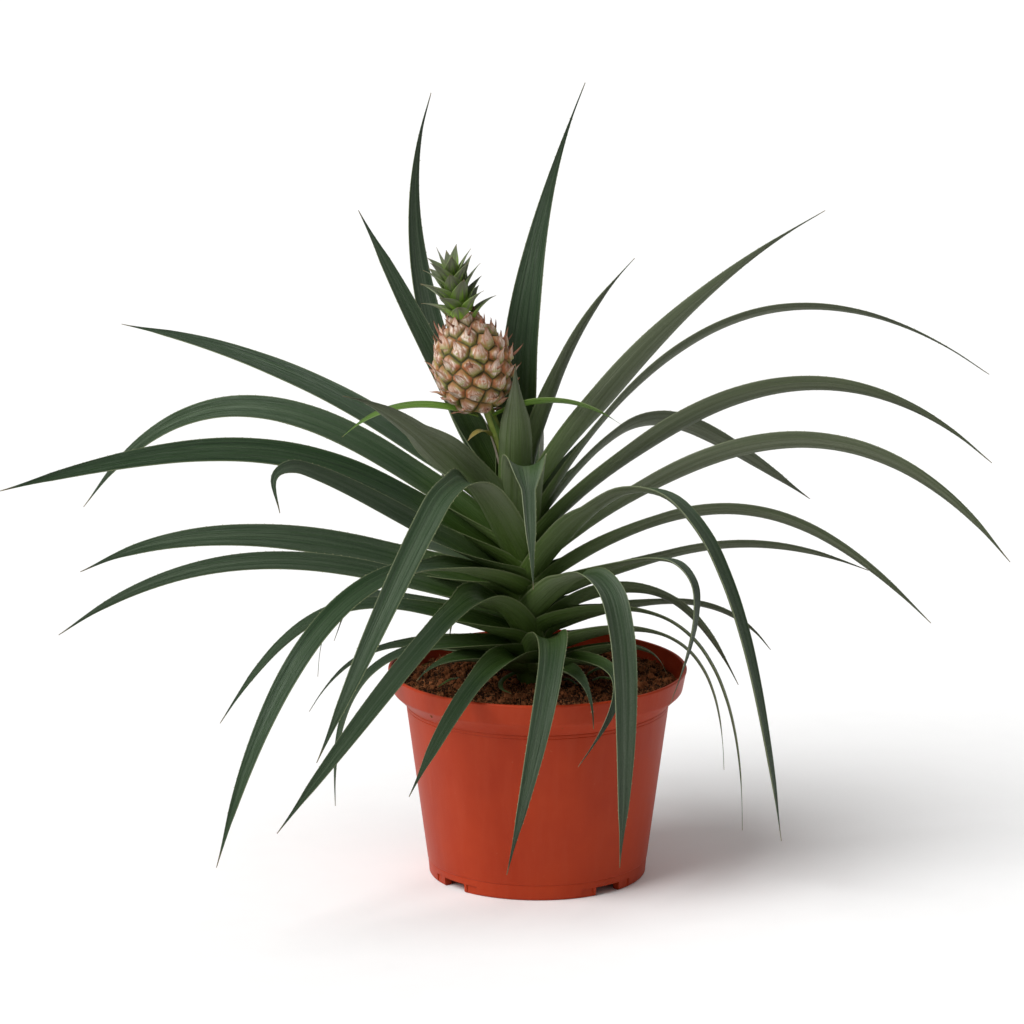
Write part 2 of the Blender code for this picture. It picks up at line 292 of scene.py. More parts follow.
def addSun(name, strength, angle, turn):
    data = bpy.data.lights.new(name, "SUN")
    data.energy = strength
    data.angle = math.radians(angle)
    thing = bpy.data.objects.new(name, data)
    scene.collection.objects.link(thing)
    thing.rotation_euler = [math.radians(value) for value in turn]


def lightStudio():
    scene.view_settings.view_transform = "Standard"
    world = bpy.data.worlds.new("studio")
    scene.world = world
    world.use_nodes = True
    backdrop = world.node_tree.nodes["Background"]
    backdrop.inputs["Color"].default_value = (1.0, 0.99, 0.975, 1)
    backdrop.inputs["Strength"].default_value = light["world"]
    addSun("keySun", light["sun"], light["sunAngle"], light["sunTurn"])
    addSun("rimSun", light["rim"], light["rimAngle"], light["rimTurn"])


def layFloor():
    look, tree, shader = newMaterial("paleFloor", 0.9, 0.1)
    grain = noiseOf(tree, objectSpot(tree), 40, 2)
    connect(tree, mixColour(tree, grain, (0.93, 0.93, 0.93), (0.96, 0.96, 0.96)), shader.inputs["Base Color"])
    bm = bmesh.new()
    bmesh.ops.create_circle(bm, cap_ends=True, segments=96, radius=14)
    mesh = bpy.data.meshes.new("floor")
    bm.to_mesh(mesh)
    bm.free()
    newPiece("floor", mesh, look)


placeCamera()
lightStudio()
layFloor()
print("studio set")


# Pot

pot = dict(rim=0.075, height=0.106, bandLow=0.095, bandRadius=0.0728, slopeLow=0.089, bodyTop=0.0662,
           foot=0.0545, footFlare=0.0008, footTop=0.0075, footEdge=0.0012, wall=0.0015, recess=0.0045,
           floor=0.0018, corner=0.0025, lip=0.0009, pad=0.014, seam=0.0078, steps=256,
           grooves=(0.0008, 0.0025), grooveHalf=0.00035, grooveDepth=0.00022,
           notchFacings=(40, 130, 220, 310), notchSize=(0.012, 0.015, 0.009),
           pocketSize=(0.0016, 0.0065, 0.009), pocketGap=0.0016,
           drain=0.004, drainReach=0.037, drainMiddle=0.0055, drainDepth=0.012)


def plasticLook():
    look, tree, shader = newMaterial("terracottaPlastic", 0.5, 0.14)
    spot = objectSpot(tree)
    cloud = noiseOf(tree, spot, 16, 4, 0.6)
    colour = mixColour(tree, remap(tree, cloud, 0.35, 0.7), (0.330, 0.030, 0.007), (0.395, 0.042, 0.010))
    # faint upright flow marks
    flow = noiseOf(tree, stretched(tree, spot, (60, 60, 5)), 3, 4, 0.6)
    colour = mixColour(tree, remap(tree, flow, 0.45, 0.75, 0, 0.25), colour, (0.41, 0.060, 0.024))
    dust = noiseOf(tree, spot, 420, 3, 0.7)
    colour = mixColour(tree, remap(tree, dust, 0.68, 0.8, 0, 0.35), colour, (0.46, 0.14, 0.075))
    connect(tree, colour, shader.inputs["Base Color"])
    connect(tree, remap(tree, cloud, 0.3, 0.7, 0.40, 0.52), shader.inputs["Roughness"])
    fine = bumpOf(tree, noiseOf(tree, spot, 1400, 2), 0.00004)
    connect(tree, bumpOf(tree, flow, 0.00012, fine), shader.inputs["Normal"])
    return look


def lathe(name, outline, steps):
    spots = []
    for reach, height in outline:
        spots += [(x, y, height) for x, y in circle(reach, steps)]
    mesh = meshFrom(name, spots, ringFaces(len(outline) - 1, steps))
    bm = bmesh.new()
    bm.from_mesh(mesh)
    bmesh.ops.remove_doubles(bm, verts=bm.verts, dist=1e-6)
    bmesh.ops.recalc_face_normals(bm, faces=bm.faces)
    bm.to_mesh(mesh)
    bm.free()
    return mesh


def arc(centre, radius, start, end, count):
    turns = np.radians(np.linspace(start, end, count))
    return [(centre[0] + radius * math.cos(t), centre[1] + radius * math.sin(t)) for t in turns]


def potOutline():
    # up the inside from the middle of the floor, over the lip, down the outside and under the foot
    wall, foot, recess, pad, seam = (pot[name] for name in ("wall", "foot", "recess", "pad", "seam"))
    rim, height, band, bandLow = (pot[name] for name in ("rim", "height", "bandRadius", "bandLow"))
    bodyTop, slopeLow, lip, corner = (pot[name] for name in ("bodyTop", "slopeLow", "lip", "corner"))
    floor = recess + pot["floor"]
    innerFoot = foot - wall - corner
    slope = (bodyTop - foot - pot["footFlare"]) / (slopeLow - pot["footTop"])

    def body(level):
        return foot + pot["footFlare"] + (level - pot["footTop"]) * slope

    inside = [(0, floor), (innerFoot, floor)]
    inside += arc((innerFoot, floor + corner), corner, -90, 0, 6)[1:]
    inside += [(bodyTop - wall, slopeLow + 0.0008), (band - wall, bandLow + 0.0008)]
    inside += [(rim - wall, height - 0.0012)]
    lipRound = arc((rim - lip, height - lip), lip, 150, -20, 8)
    rimBand = [(rim - 0.0005, height - 0.0025), (band + 0.0002, bandLow + 0.0010)]
    rimBand += [(band, bandLow + 0.0003), (band - 0.0005, bandLow - 0.0004)]
    rimBand += [(bodyTop + 0.0006, slopeLow + 0.0005), (bodyTop + 0.0001, slopeLow - 0.0001)]
    lines = []
    for groove in pot["grooves"]:
        middle, half = slopeLow - groove, pot["grooveHalf"]
        lines += [(body(middle + half), middle + half), (body(middle) - pot["grooveDepth"], middle)]
        lines += [(body(middle - half), middle - half)]
    lower = [(body(0.05), 0.05), (body(seam + 0.0004), seam + 0.0004), (body(seam) - 0.0003, seam)]
    lower += [(body(seam) - 0.0002, seam - 0.0004)]
    lower += arc((foot - 0.0011, pot["footEdge"]), pot["footEdge"], 10, -90, 6)
    under = [(foot - 0.0032, 0), (foot - 0.004, 0.0006), (foot - 0.0042, recess)]
    under += [(pad + 0.001, recess), (pad, 0.0004), (pad - 0.0006, 0), (0, 0)]
    return inside + lipRound + rimBand + lines + lower + under


def potCuts():
    # notches and pockets around the foot, and the drain holes
    bm = bmesh.new()
    foot, notch, pocket = pot["foot"], pot["notchSize"], pot["pocketSize"]
    pocketTurn = math.degrees((notch[1] / 2 + pot["pocketGap"] + pocket[1] / 2) / foot)
    cuts = []
    for facing in pot["notchFacings"]:
        cuts.append((facing, foot - 0.002, notch))
        for side in (-1, 1):
            cuts.append((facing + side * pocketTurn, foot + 0.0004, pocket))
    for facing, reach, size in cuts:
        turn = Matrix.Rotation(math.radians(facing), 4, "Z") @ Matrix.Translation((reach, 0, 0))
        made = bmesh.ops.create_cube(bm, size=1.0)["verts"]
        bmesh.ops.transform(bm, matrix=turn @ Matrix.Diagonal((*size, 1)), verts=made)
    for facing in pot["notchFacings"]:
        spot = Matrix.Translation((pot["drainReach"], 0, pot["drainMiddle"]))
        turn = Matrix.Rotation(math.radians(facing), 4, "Z") @ spot
        bmesh.ops.create_cone(bm, cap_ends=True, segments=40, radius1=pot["drain"], radius2=pot["drain"],
                              depth=pot["drainDepth"], matrix=turn)
    mesh = bpy.data.meshes.new("potCuts")
    bm.to_mesh(mesh)
    bm.free()
    return newPiece("potCuts", mesh)


def buildPot(look):
    whole = newPiece("potShell", lathe("potShell", potOutline(), pot["steps"]), look)
    cutter = potCuts()
    whole.modifiers.new("notches", "BOOLEAN").object = cutter
    mesh = evaluated(whole)
    bpy.data.objects.remove(cutter)
    smooth(mesh, 28)
    piece = newPiece("potShell", mesh, look)
    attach(piece, "root")
    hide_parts("pot")


buildPot(plasticLook())
print("pot made")


# Potting mix

mix = dict(crown=0.1000, edge=0.0962, reach=0.0700, tilt=0.022, tiltTurn=60, lumps=0.0026, gap=0.0004,
           rings=58, steps=150, stemRoom=0.0095, groundRings=30, groundSteps=90,
           clumps=580, crumbs=7200, fibres=4700, fullTurn=6.283, seed=7)


def mixLook(name, dark, mid, light, roughBump):
    look, tree, shader = newMaterial(name, 0.92, 0.06)
    spot = objectSpot(tree)
    tint = attributeOf(tree, "tint")
    broad = noiseOf(tree, spot, 90, 4, 0.65)
    fine = noiseOf(tree, spot, 900, 4, 0.75)
    share = mathOf(tree, "ADD", times(tree, broad, 0.6), times(tree, fine, 0.4))
    colour = mixColour(tree, remap(tree, share, 0.38, 0.62), dark, mid)
    colour = mixColour(tree, remap(tree, tint, 0.35, 1.0), colour, light)
    moss = noiseOf(tree, spot, 38, 3, 0.6)
    colour = mixColour(tree, remap(tree, moss, 0.64, 0.72, 0, 0.55), colour, (0.10, 0.11, 0.025))
    # painted shade: near-black pockets where the fine noise is low, standing in for shade between the crumbs
    connect(tree, mixColour(tree, remap(tree, fine, 0.30, 0.48, 0.75, 0), colour, (0.012, 0.006, 0.004)),
            shader.inputs["Base Color"])
    connect(tree, bumpOf(tree, fine, roughBump), shader.inputs["Normal"])
    return look


def mixHeight(x, y):
    share = min(1, math.hypot(x, y) / mix["reach"])
    uphill = x * math.cos(math.radians(mix["tiltTurn"])) + y * math.sin(math.radians(mix["tiltTurn"]))
    height = mix["crown"] + (mix["edge"] - mix["crown"]) * share ** 2
    lump = noise.fractal(Vector((x, y, 0.3)) * 55, 1.0, 2.0, 4)
    return height + uphill * mix["tilt"] + mix["lumps"] * lump * (1 - 0.6 * share ** 6)


def mixRing(reach, steps):
    return [(x, y, mixHeight(x, y)) for x, y in circle(reach, steps)]


def buildMix(look):
    wall = pot["wall"] + mix["gap"]
    rings, steps = mix["rings"], mix["steps"]
    topRadius = pot["bandRadius"] - wall - mix["gap"]
    spots = [(0, 0, mixHeight(0, 0))]
    for ring in range(1, rings + 1):
        spots += mixRing(topRadius * ring / rings, steps)
    floor = pot["recess"] + pot["floor"] + mix["gap"]
    innerFoot = pot["foot"] - wall
    for reach, height in ((pot["bodyTop"] - wall, pot["slopeLow"] + 0.0002), (innerFoot, floor + 0.003),
                          (innerFoot - 0.003, floor)):
        spots += [(x, y, height) for x, y in circle(reach, steps)]
    faces = [(0, 1 + step, 1 + (step + 1) % steps) for step in range(steps)]
    faces += ringFaces(rings + 2, steps, 1, True)
    last = 1 + (rings + 2) * steps
    faces.append(tuple(last + step for step in reversed(range(steps))))
    mesh = meshFrom("mixBody", spots, faces)
    setFloat(mesh, "tint", [0.25] * len(spots))
    smooth(mesh, 60)
    piece = newPiece("mixBody", mesh, look)
    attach(piece, "root")
    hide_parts("potting_mix")


def crumbMesh(name, level, seed):
    bm = bmesh.new()
    bmesh.ops.create_icosphere(bm, subdivisions=level, radius=0.5)
    for vert in bm.verts:
        push = noise.noise(vert.co * 3.1 + Vector((seed, 0, 0)))
        push += 0.6 * noise.noise(vert.co * 9.0 + Vector((0, seed, 0)))
        vert.co = Vector((vert.co.x, vert.co.y * 0.78, vert.co.z * 0.55)) * (1 + 0.8 * push)
    mesh = bpy.data.meshes.new(name)
    bm.to_mesh(mesh)
    bm.free()
    return bpy.data.objects.new(name, mesh)


def fibreMesh():
    spots, rows, sides = [], 5, 3
    for row in range(rows + 1):
        share = row / rows
        thick = 0.75 * (1 - 0.6 * abs(2 * share - 1))
        bowX, bowY = 0.20 * math.sin(share * 5.2), 0.16 * math.cos(share * 3.9)
        spots += [(x + bowX, y + bowY, share - 0.5) for x, y in circle(0.02 * thick, sides)]
    faces = ringFaces(rows, sides) + [(2, 1, 0), (15, 16, 17)]
    return bpy.data.objects.new("fibre", meshFrom("fibre", spots, faces))


def scatterTree(look):
    tree, given = newTree("scatterOnMix", {"Count": "Float", "Shape": "Object", "Smallest": "Float",
                                           "Largest": "Float", "Tumble": "Float", "Seed": "Int"})
    spread = addNode(tree, "GeometryNodeDistributePointsOnFaces",
                     {"Mesh": given["Geometry"], "Density": given["Count"], "Seed": given["Seed"]})
    shape = addNode(tree, "GeometryNodeObjectInfo", {"Object": given["Shape"]})
    turn = addNode(tree, "FunctionNodeRandomValue", {1: (1, 1, 1), "Seed": given["Seed"]},
                   data_type="FLOAT_VECTOR").outputs[0]
    turnBy = vectorOf(tree, given["Tumble"], given["Tumble"], mix["fullTurn"])
    spun = addNode(tree, "ShaderNodeVectorMath", {0: turn, 1: turnBy}, operation="MULTIPLY").outputs[0]
    size = randomOf(tree, given["Smallest"], given["Largest"], given["Seed"])
    put = addNode(tree, "GeometryNodeInstanceOnPoints",
                  {"Points": spread.outputs["Points"], "Instance": shape.outputs["Geometry"],
                   "Rotation": spun, "Scale": size})
    endTree(tree, tinted(tree, put, given["Seed"]), look)
    return tree


def scatterGround():
    spots = []
    rings, steps, room = mix["groundRings"], mix["groundSteps"], mix["stemRoom"]
    for ring in range(rings + 1):
        spots += mixRing(room + (mix["reach"] - room) * ring / rings, steps)
    return meshFrom("ground", spots, ringFaces(rings, steps, 0, True))


def buildCrumbs(look, fibreLook):
    area = math.pi * (mix["reach"] ** 2 - mix["stemRoom"] ** 2)
    kinds = (("mixClumps", crumbMesh("clump", 3, 3), mix["clumps"], 0.0015, 0.0052, look),
             ("mixCrumbs", crumbMesh("crumb", 1, 9), mix["crumbs"], 0.0005, 0.0019, look),
             ("mixFibres", fibreMesh(), mix["fibres"], 0.0020, 0.0072, fibreLook))
    for number, (name, shape, count, small, large, skin) in enumerate(kinds):
        holder = newPiece(name, scatterGround())
        applyTree(holder, scatterTree(skin),
                  {"Count": count / area, "Shape": shape, "Smallest": small, "Largest": large,
                   "Tumble": mix["fullTurn"], "Seed": mix["seed"] + number})
        piece = bakeNodes(holder, name, skin)
        piece.data.shade_smooth()
        bpy.data.objects.remove(shape)
        print(name, len(piece.data.polygons))


buildMix(mixLook("mixGround", (0.012, 0.005, 0.003), (0.050, 0.018, 0.008), (0.11, 0.040, 0.018), 0.0007))
buildCrumbs(mixLook("mixCrumb", (0.024, 0.008, 0.004), (0.115, 0.036, 0.014), (0.31, 0.110, 0.042), 0.0007),
            mixLook("mixFibre", (0.075, 0.026, 0.010), (0.26, 0.095, 0.036), (0.50, 0.235, 0.100), 0.0001))
print("potting mix made")


# Leaves

leaf = dict(rows=72, columns=12, middleThick=0.0013, edgeThick=0.00035, sheathDrop=0.016, sheathWrap=1.45,
            sheathFloor=0.088, sheathReach=(0.72, 0.82), channel=0.46, flare=1.5, flareOver=0.070,
            ripple=0.0005, widen=1.06, narrowestFoot=0.0125, taper=0.030, tooNarrow=0.0022)

# How each leaf differs: tone shifts it dark or light, bloom is its grey powdery wax
leafTones = dict(leaf_47=(0.75, 1.0), leaf_41=(0.6, 0.8), leaf_36=(0.85, 1.0), leaf_33=(0.34, 0.5),
                 leaf_27=(0.22, 0.25), leaf_20=(0.50, 1.0), leaf_09=(0.30, 0.6), leaf_29=(0.55, 0.6),
                 leaf_39=(0.12, 0.10), leaf_32=(0.12, 0.12), leaf_28=(0.32, 0.5))

# Leaves that stand out: half width of the broad lower part, how far it runs, width of the limb,
# depth of the channel
leafForms = dict(leaf_36=(0.0140, 0.066, 0.58, 1.05), leaf_33=(0.0140, 0.085, 1.0, 0.80),
                 leaf_28=(0.0125, 0.060, 1.0, 0.60), leaf_27=(0.0120, 0.070, 1.0, 0.60),
                 leaf_41=(0.0115, 0.080, 1.0, 0.50), leaf_20=(0.0130, 0.048, 1.0, 0.65),
                 leaf_16=(0.0130, 0.050, 1.0, 0.65), leaf_09=(0.0090, 0.030, 1.0, 0.50),
                 leaf_47=(0.0072, 0.045, 1.2, 0.85))


def leafLook(name, dark, mid, pale, bloomColour, underside, young=(0.070, 0.135, 0.012), youngTo=0.066,
             tipFrom=0.965):
    look, tree, shader = newMaterial(name, 0.5, 0.22 if underside else 0.28)
    across, along = attributeOf(tree, "across"), attributeOf(tree, "along")
    length, tone, bloom = attributeOf(tree, "travel"), attributeOf(tree, "tone"), attributeOf(tree, "bloom")
    spot = objectSpot(tree)
    striped = vectorOf(tree, times(tree, across, 9.0), times(tree, length, 9.0), tone)
    veins = vectorOf(tree, times(tree, across, 34.0), times(tree, length, 10.0), tone)
    streak = noiseOf(tree, striped, 0.8, 4, 0.6)
    vein = noiseOf(tree, veins, 1.0, 2, 0.5)
    speck = noiseOf(tree, spot, 1500, 2, 0.7)
    patch = noiseOf(tree, stretched(tree, striped, (0.35, 0.6, 1)), 1.0, 3, 0.6)
    colour = mixColour(tree, remap(tree, streak, 0.36, 0.66), dark, mid)
    colour = mixColour(tree, remap(tree, vein, 0.52, 0.68, 0, 0.60), colour, pale)
    lift = remap(tree, tone, 0, 1, -0.1, 0.5)
    lift = mathOf(tree, "ADD", lift, remap(tree, patch, 0.4, 0.7, 0, 0.35), True)
    colour = mixColour(tree, lift, colour, pale)
    wax = times(tree, bloom, remap(tree, patch, 0.38, 0.66, 0.15, 0.85), True)
    wax = times(tree, wax, remap(tree, speck, 0.35, 0.6, 0.55, 1.0), True)
    colour = mixColour(tree, wax, colour, bloomColour)
    atFoot = mathOf(tree, "ADD", length, times(tree, remap(tree, streak, 0.3, 0.7, -1, 1), 0.008))
    colour = mixColour(tree, remap(tree, atFoot, 0, youngTo, 0.8, 0), colour, young)
    edge = mathOf(tree, "ABSOLUTE", across)
    colour = mixColour(tree, remap(tree, edge, 0.93, 0.99, 0, 0.45), colour, (0.24, 0.27, 0.14))
    colour = mixColour(tree, remap(tree, along, tipFrom, 1.0, 0, 0.8), colour, (0.30, 0.22, 0.11))
    connect(tree, colour, shader.inputs["Base Color"])
    rough = remap(tree, wax, 0, 0.8, 0.48 if underside else 0.38, 0.58)
    connect(tree, rough, shader.inputs["Roughness"])
    pleat = bumpOf(tree, streak, 0.0007)
    ribbed = bumpOf(tree, vein, 0.00032, pleat)
    connect(tree, bumpOf(tree, speck, 0.00004, ribbed), shader.inputs["Normal"])
    return look


def mergedCopy(node):
    bm = bmesh.new()
    bm.from_mesh(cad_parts[node].data)
    bmesh.ops.remove_doubles(bm, verts=bm.verts, dist=0.00002)
    bm.verts.ensure_lookup_table()
    return bm


def spotsOf(node):
    bm = mergedCopy(node)
    spots = np.array([vert.co for vert in bm.verts])
    bm.free()
    return spots


def stepsFrom(bm, start):
    layers, seen = [set(start)], set(start)
    while layers[-1]:
        near = {edge.other_vert(bm.verts[i]).index for i in layers[-1] for edge in bm.verts[i].link_edges}
        layers.append(near - seen)
        seen |= near
    return [sorted(layer) for layer in layers[:-1]]


def readRings(node):
    # the six corners of each station along the leaf, foot first; the walk starts at the tip, the tightest six
    bm = mergedCopy(node)
    spots = np.array([vert.co for vert in bm.verts])
    gaps = np.linalg.norm(spots[:, None] - spots[None], axis=2)
    layers = []
    for start in np.argsort(np.sort(gaps, axis=1)[:, 5]):
        layers = stepsFrom(bm, np.argsort(gaps[start])[:6].tolist())
        if all(len(layer) == 6 for layer in layers):
            break
    bm.free()
    return [spots[layer] for layer in reversed(layers)]


def crossSections(node):
    # middle, direction across and half width at each station, foot first
    rings = readRings(node)
    centres = np.array([ring.mean(0) for ring in rings])
    headings = unit(np.gradient(centres, axis=0))
    reach = [np.linalg.norm(ring[:, None] - ring[None], axis=2).max() for ring in rings]
    widest = int(np.argmax(reach))
    ring = rings[widest]
    gaps = np.linalg.norm(ring[:, None] - ring[None], axis=2)
    first, second = np.unravel_index(np.argmax(gaps), gaps.shape)
    startSide = unit(ring[second] - ring[first])
    middles, sides = (np.zeros((len(rings), 3)) for _ in range(2))
    halves = np.zeros(len(rings))

    def measure(index, side, up):
        ordered = rings[index][np.argsort(rings[index] @ side)]
        left, middle, right = (ordered[pair:pair + 2].mean(0) for pair in (0, 2, 4))
        side = right - left
        side = unit(side - headings[index] * (side @ headings[index]))
        lift = (left + right) / 2 - middle
        lift = lift - headings[index] * (lift @ headings[index]) - side * (lift @ side)
        width = np.linalg.norm(right - left)
        fresh = up if width < leaf["tooNarrow"] else unit(lift)
        fresh = unit(fresh - headings[index] * (fresh @ headings[index]) - side * (fresh @ side))
        middles[index], sides[index], halves[index] = middle, side, width / 2
        return side, fresh

    side, up = measure(widest, startSide, None)
    if np.cross(side, headings[widest]) @ up < 0:
        startSide = -startSide
        side, up = measure(widest, startSide, None)
    keep = side, up
    for index in range(widest - 1, -1, -1):
        side, up = measure(index, side, up)
    side, up = keep
    for index in range(widest + 1, len(rings)):
        side, up = measure(index, side, up)
    return middles, sides, halves


def bladeMesh(name, middles, sides, halves, curls, thick, tone, bloom, footLength=0, columns=8):
    # a thin curved strap along the middles, and its two margins
    rows = len(middles) - 1
    middles, halves, curls = np.asarray(middles), np.asarray(halves), np.maximum(np.asarray(curls), 0.02)
    headings = unit(np.gradient(middles, axis=0))
    sides = unit(sides - headings * np.sum(sides * headings, axis=1, keepdims=True))
    facingUp = np.cross(sides, headings)
    travel = np.concatenate([[0], np.cumsum(np.linalg.norm(np.diff(middles, axis=0), axis=1))])
    across = np.linspace(-1, 1, columns + 1)
    angle = curls[:, None] * across[None]
    radius = (halves / curls)[:, None]
    offSide, offUp = radius * np.sin(angle), radius * (1 - np.cos(angle))
    flat = middles[:, None] + sides[:, None] * offSide[..., None] + facingUp[:, None] * offUp[..., None]
    normal = facingUp[:, None] * np.cos(angle)[..., None] - sides[:, None] * np.sin(angle)[..., None]
    fall = 1 - np.abs(across) ** 2.4
    shrink = np.clip(halves / 0.003, 0.25, 1)[:, None]
    body = (leaf["edgeThick"] + (thick - leaf["edgeThick"]) * fall[None]) * shrink
    top, under = flat + normal * body[..., None] / 2, flat - normal * body[..., None] / 2
    spots = np.concatenate([top.reshape(-1, 3), under.reshape(-1, 3)])
    wide, shift = columns + 1, (rows + 1) * (columns + 1)
    faces, skins = [], []
    for row in range(rows):
        for column in range(columns):
            a = row * wide + column
            faces.append((a, a + 1, a + wide + 1, a + wide))
            faces.append((shift + a, shift + a + wide, shift + a + wide + 1, shift + a + 1))
            skins += [0, 1]
        for column, turned in ((0, True), (columns, False)):
            a = row * wide + column
            rim = (a, a + wide, shift + a + wide, shift + a)
            faces.append(tuple(reversed(rim)) if not turned else rim)
            skins.append(0)
    for column in range(columns):
        a, b = column, rows * wide + column
        faces.append((a, shift + a, shift + a + 1, a + 1))
        faces.append((b, b + 1, shift + b + 1, shift + b))
        skins += [1, 0]
    mesh = meshFrom(name, spots, faces)
    mesh.polygons.foreach_set("material_index", skins)
    shares = travel / travel[-1]
    setFloat(mesh, "across", np.tile(np.tile(across, rows + 1), 2))
    setFloat(mesh, "along", np.tile(np.repeat(shares, wide), 2))
    setFloat(mesh, "travel", np.tile(np.repeat(travel - footLength, wide), 2))
    setFloat(mesh, "tone", np.full(len(spots), tone))
    setFloat(mesh, "bloom", np.full(len(spots), bloom))
    layer = mesh.uv_layers.new(name="blade")
    loops = np.empty(len(mesh.loops), int)
    mesh.loops.foreach_get("vertex_index", loops)
    u = np.tile(np.tile((across + 1) / 2, rows + 1), 2)
    u[shift:] += 1.2
    v = np.tile(np.repeat(travel * 10, wide), 2)
    layer.data.foreach_set("uv", np.stack([u[loops], v[loops]], 1).astype(np.float32).ravel())
    smooth(mesh, 55)
    edges = np.stack([flat[:, 0], flat[:, -1]], 1)
    return mesh, edges


def endsOf(node):
    spots = spotsOf(node)
    low, high = spots[:, 2].min(), spots[:, 2].max()
    return spots[spots[:, 2] < low + 0.0006].mean(0), spots[spots[:, 2] > high - 0.0006].mean(0)


stemLow, stemHigh = endsOf("stem")
stemKink = 0.095
stemLean = stemHigh[0] / (stemHigh[2] - stemKink)


def stemMiddle(height):
    return np.array((stemLean * max(0.0, height - stemKink), 0.0, height))


def buildLeaf(number, upper, under):
    node = f"leaf_{number:02d}"
    rng = random.Random(number * 17)
    middles, sides, halves = crossSections(node)
    count = leaf["rows"]
    # the sheath: a few stations below the foot, hugging the stem
    foot = middles[0]
    axis = stemMiddle(foot[2])
    outward = unit((foot - axis) * (1, 1, 0))
    startReach = float(np.linalg.norm((foot - axis)[:2]))
    drop = min(leaf["sheathDrop"], foot[2] - leaf["sheathFloor"])
    low, high = leaf["sheathReach"]
    lead = [stemMiddle(foot[2] - drop) + outward * startReach * low,
            stemMiddle(foot[2] - drop * 0.5) + outward * startReach * high]
    path = through(np.vstack([lead, middles]), count)
    flatSide = unit(np.cross(np.array((0.0, 0.0, 1.0)), outward))
    if flatSide @ sides[0] < 0:
        flatSide = -flatSide
    sideWay = unit(through(np.vstack([flatSide, flatSide, sides]), count))
    width = through(np.concatenate([[halves[0], halves[0]], halves]), count)[:, 0]
    travel = np.concatenate([[0], np.cumsum(np.linalg.norm(np.diff(path, axis=0), axis=1))])
    footLength = float(np.linalg.norm(lead[0] - lead[1]) + np.linalg.norm(lead[1] - foot))
    fromFoot = travel - footLength
    near = 1 - ease(-0.004, leaf["flareOver"], fromFoot)
    widest = halves.max()
    base = max(widest * leaf["flare"], leaf["narrowestFoot"])
    broad, broadTo, limb, channel = leafForms.get(node, (0, 0.04, 1.0, leaf["channel"]))
    lower = 1 - ease(broadTo * 0.6, broadTo * 1.25, fromFoot)
    width = np.maximum(width * leaf["widen"] * limb, broad * lower)
    width = width * (1 - near) + max(base, broad) * near
    width *= 1 + 0.03 * np.array([noise.noise(Vector((s * 30, number * 3.7, 0))) for s in travel])
    taperEnd = np.clip((travel[-1] - travel) / leaf["taper"], 0, 1) ** 0.8
    width = np.minimum(width, 0.00012 + width * (0.15 + 0.85 * taperEnd))
    curl = channel + (leaf["sheathWrap"] - channel) * near
    curl = curl * np.clip(width / 0.0016, 0.2, 1)
    sway = np.array([noise.noise(Vector((s * 14, number * 5.1, 7))) for s in travel])
    lean = ease(0.02, 0.10, fromFoot)
    path = path + np.cross(sideWay, unit(np.gradient(path, axis=0))) * (sway * leaf["ripple"] * lean)[:, None]
    tone, bloom = leafTones.get(node, (0.15 + 0.35 * rng.random(), 0.25 + 0.45 * rng.random()))
    thick = leaf["middleThick"] * (0.75 + 0.25 * min(1, widest / 0.006))
    mesh, edges = bladeMesh("blade" + node[4:], path, sideWay, width, curl, thick, tone, bloom,
                            footLength, leaf["columns"])
    piece = newPiece("blade" + node[4:], mesh, upper, under)
    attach(piece, "root")
    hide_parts(node)
    return edges, fromFoot


leafUpper = leafLook("leafUpper", (0.006, 0.022, 0.005), (0.015, 0.046, 0.011), (0.044, 0.082, 0.032),
                     (0.112, 0.142, 0.098), False)
leafUnder = leafLook("leafUnder", (0.039, 0.057, 0.020), (0.077, 0.100, 0.045), (0.128, 0.151, 0.085),
                     (0.210, 0.228, 0.165), True)
leafCount = sum(1 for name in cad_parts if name.startswith("leaf_"))
margins = [buildLeaf(number, leafUpper, leafUnder) for number in range(1, leafCount + 1)]
print("leaves made:", leafCount)


# Small shoots that lie over the mix around the foot of the stem

shoots = dict(curl=0.75, rows=26, look=dict(thick=0.0009, tone=0.85, bloom=0.35))
# points along each shoot and its half width, in millimetres
shootPaths = (((-4, -2, 102), (-11, -5, 104.5), (-17.5, -12, 102.5), (-18, -23, 101), (-13, -32, 100.5), 1.7),
              ((25, 9, 100), (31, 7, 103.5), (38, 3, 103.5), (44, -2, 100.5), 2.1),
              ((26, -4, 99.5), (32, -7, 102.5), (38, -10, 102), (42, -13, 99.5), 1.7),
              ((40, -27, 98.5), (43, -31, 100.5), (46, -37, 99), 1.1),
              ((10, -8, 100), (15, -12, 103), (20, -17, 101), 1.3),
              ((-40, 4, 99), (-44, -6, 101), (-50, -12, 98.5), 1.2))


def growShoots(upper, under):
    meshes = []
    for *spots, half in shootPaths:
        path = through(np.array(spots) * 0.001, shoots["rows"])
        share = np.linspace(0, 1, len(path))
        aside = unit(np.cross(np.array((0.0, 0.0, 1.0)), np.gradient(path, axis=0)))
        halves = half * 0.001 * (1 - share ** 2.2) ** 0.8 + 0.00012
        curls = shoots["curl"] * np.clip(halves / halves.max(), 0.2, 1)
        mesh, _ = bladeMesh("shoot", path, aside, halves, curls, **shoots["look"])
        meshes.append(mesh)
    piece = newPiece("shoots", joined("shoots", meshes), upper, under)
    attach(piece, "root")
    print("shoots", len(piece.data.polygons))


growShoots(leafLook("shootUpper", (0.014, 0.050, 0.006), (0.035, 0.100, 0.012), (0.075, 0.150, 0.030),
                    (0.14, 0.19, 0.09), False),
           leafLook("shootUnder", (0.040, 0.075, 0.015), (0.080, 0.130, 0.030), (0.13, 0.18, 0.06),
                    (0.20, 0.23, 0.13), True))


# Teeth along the leaf margins

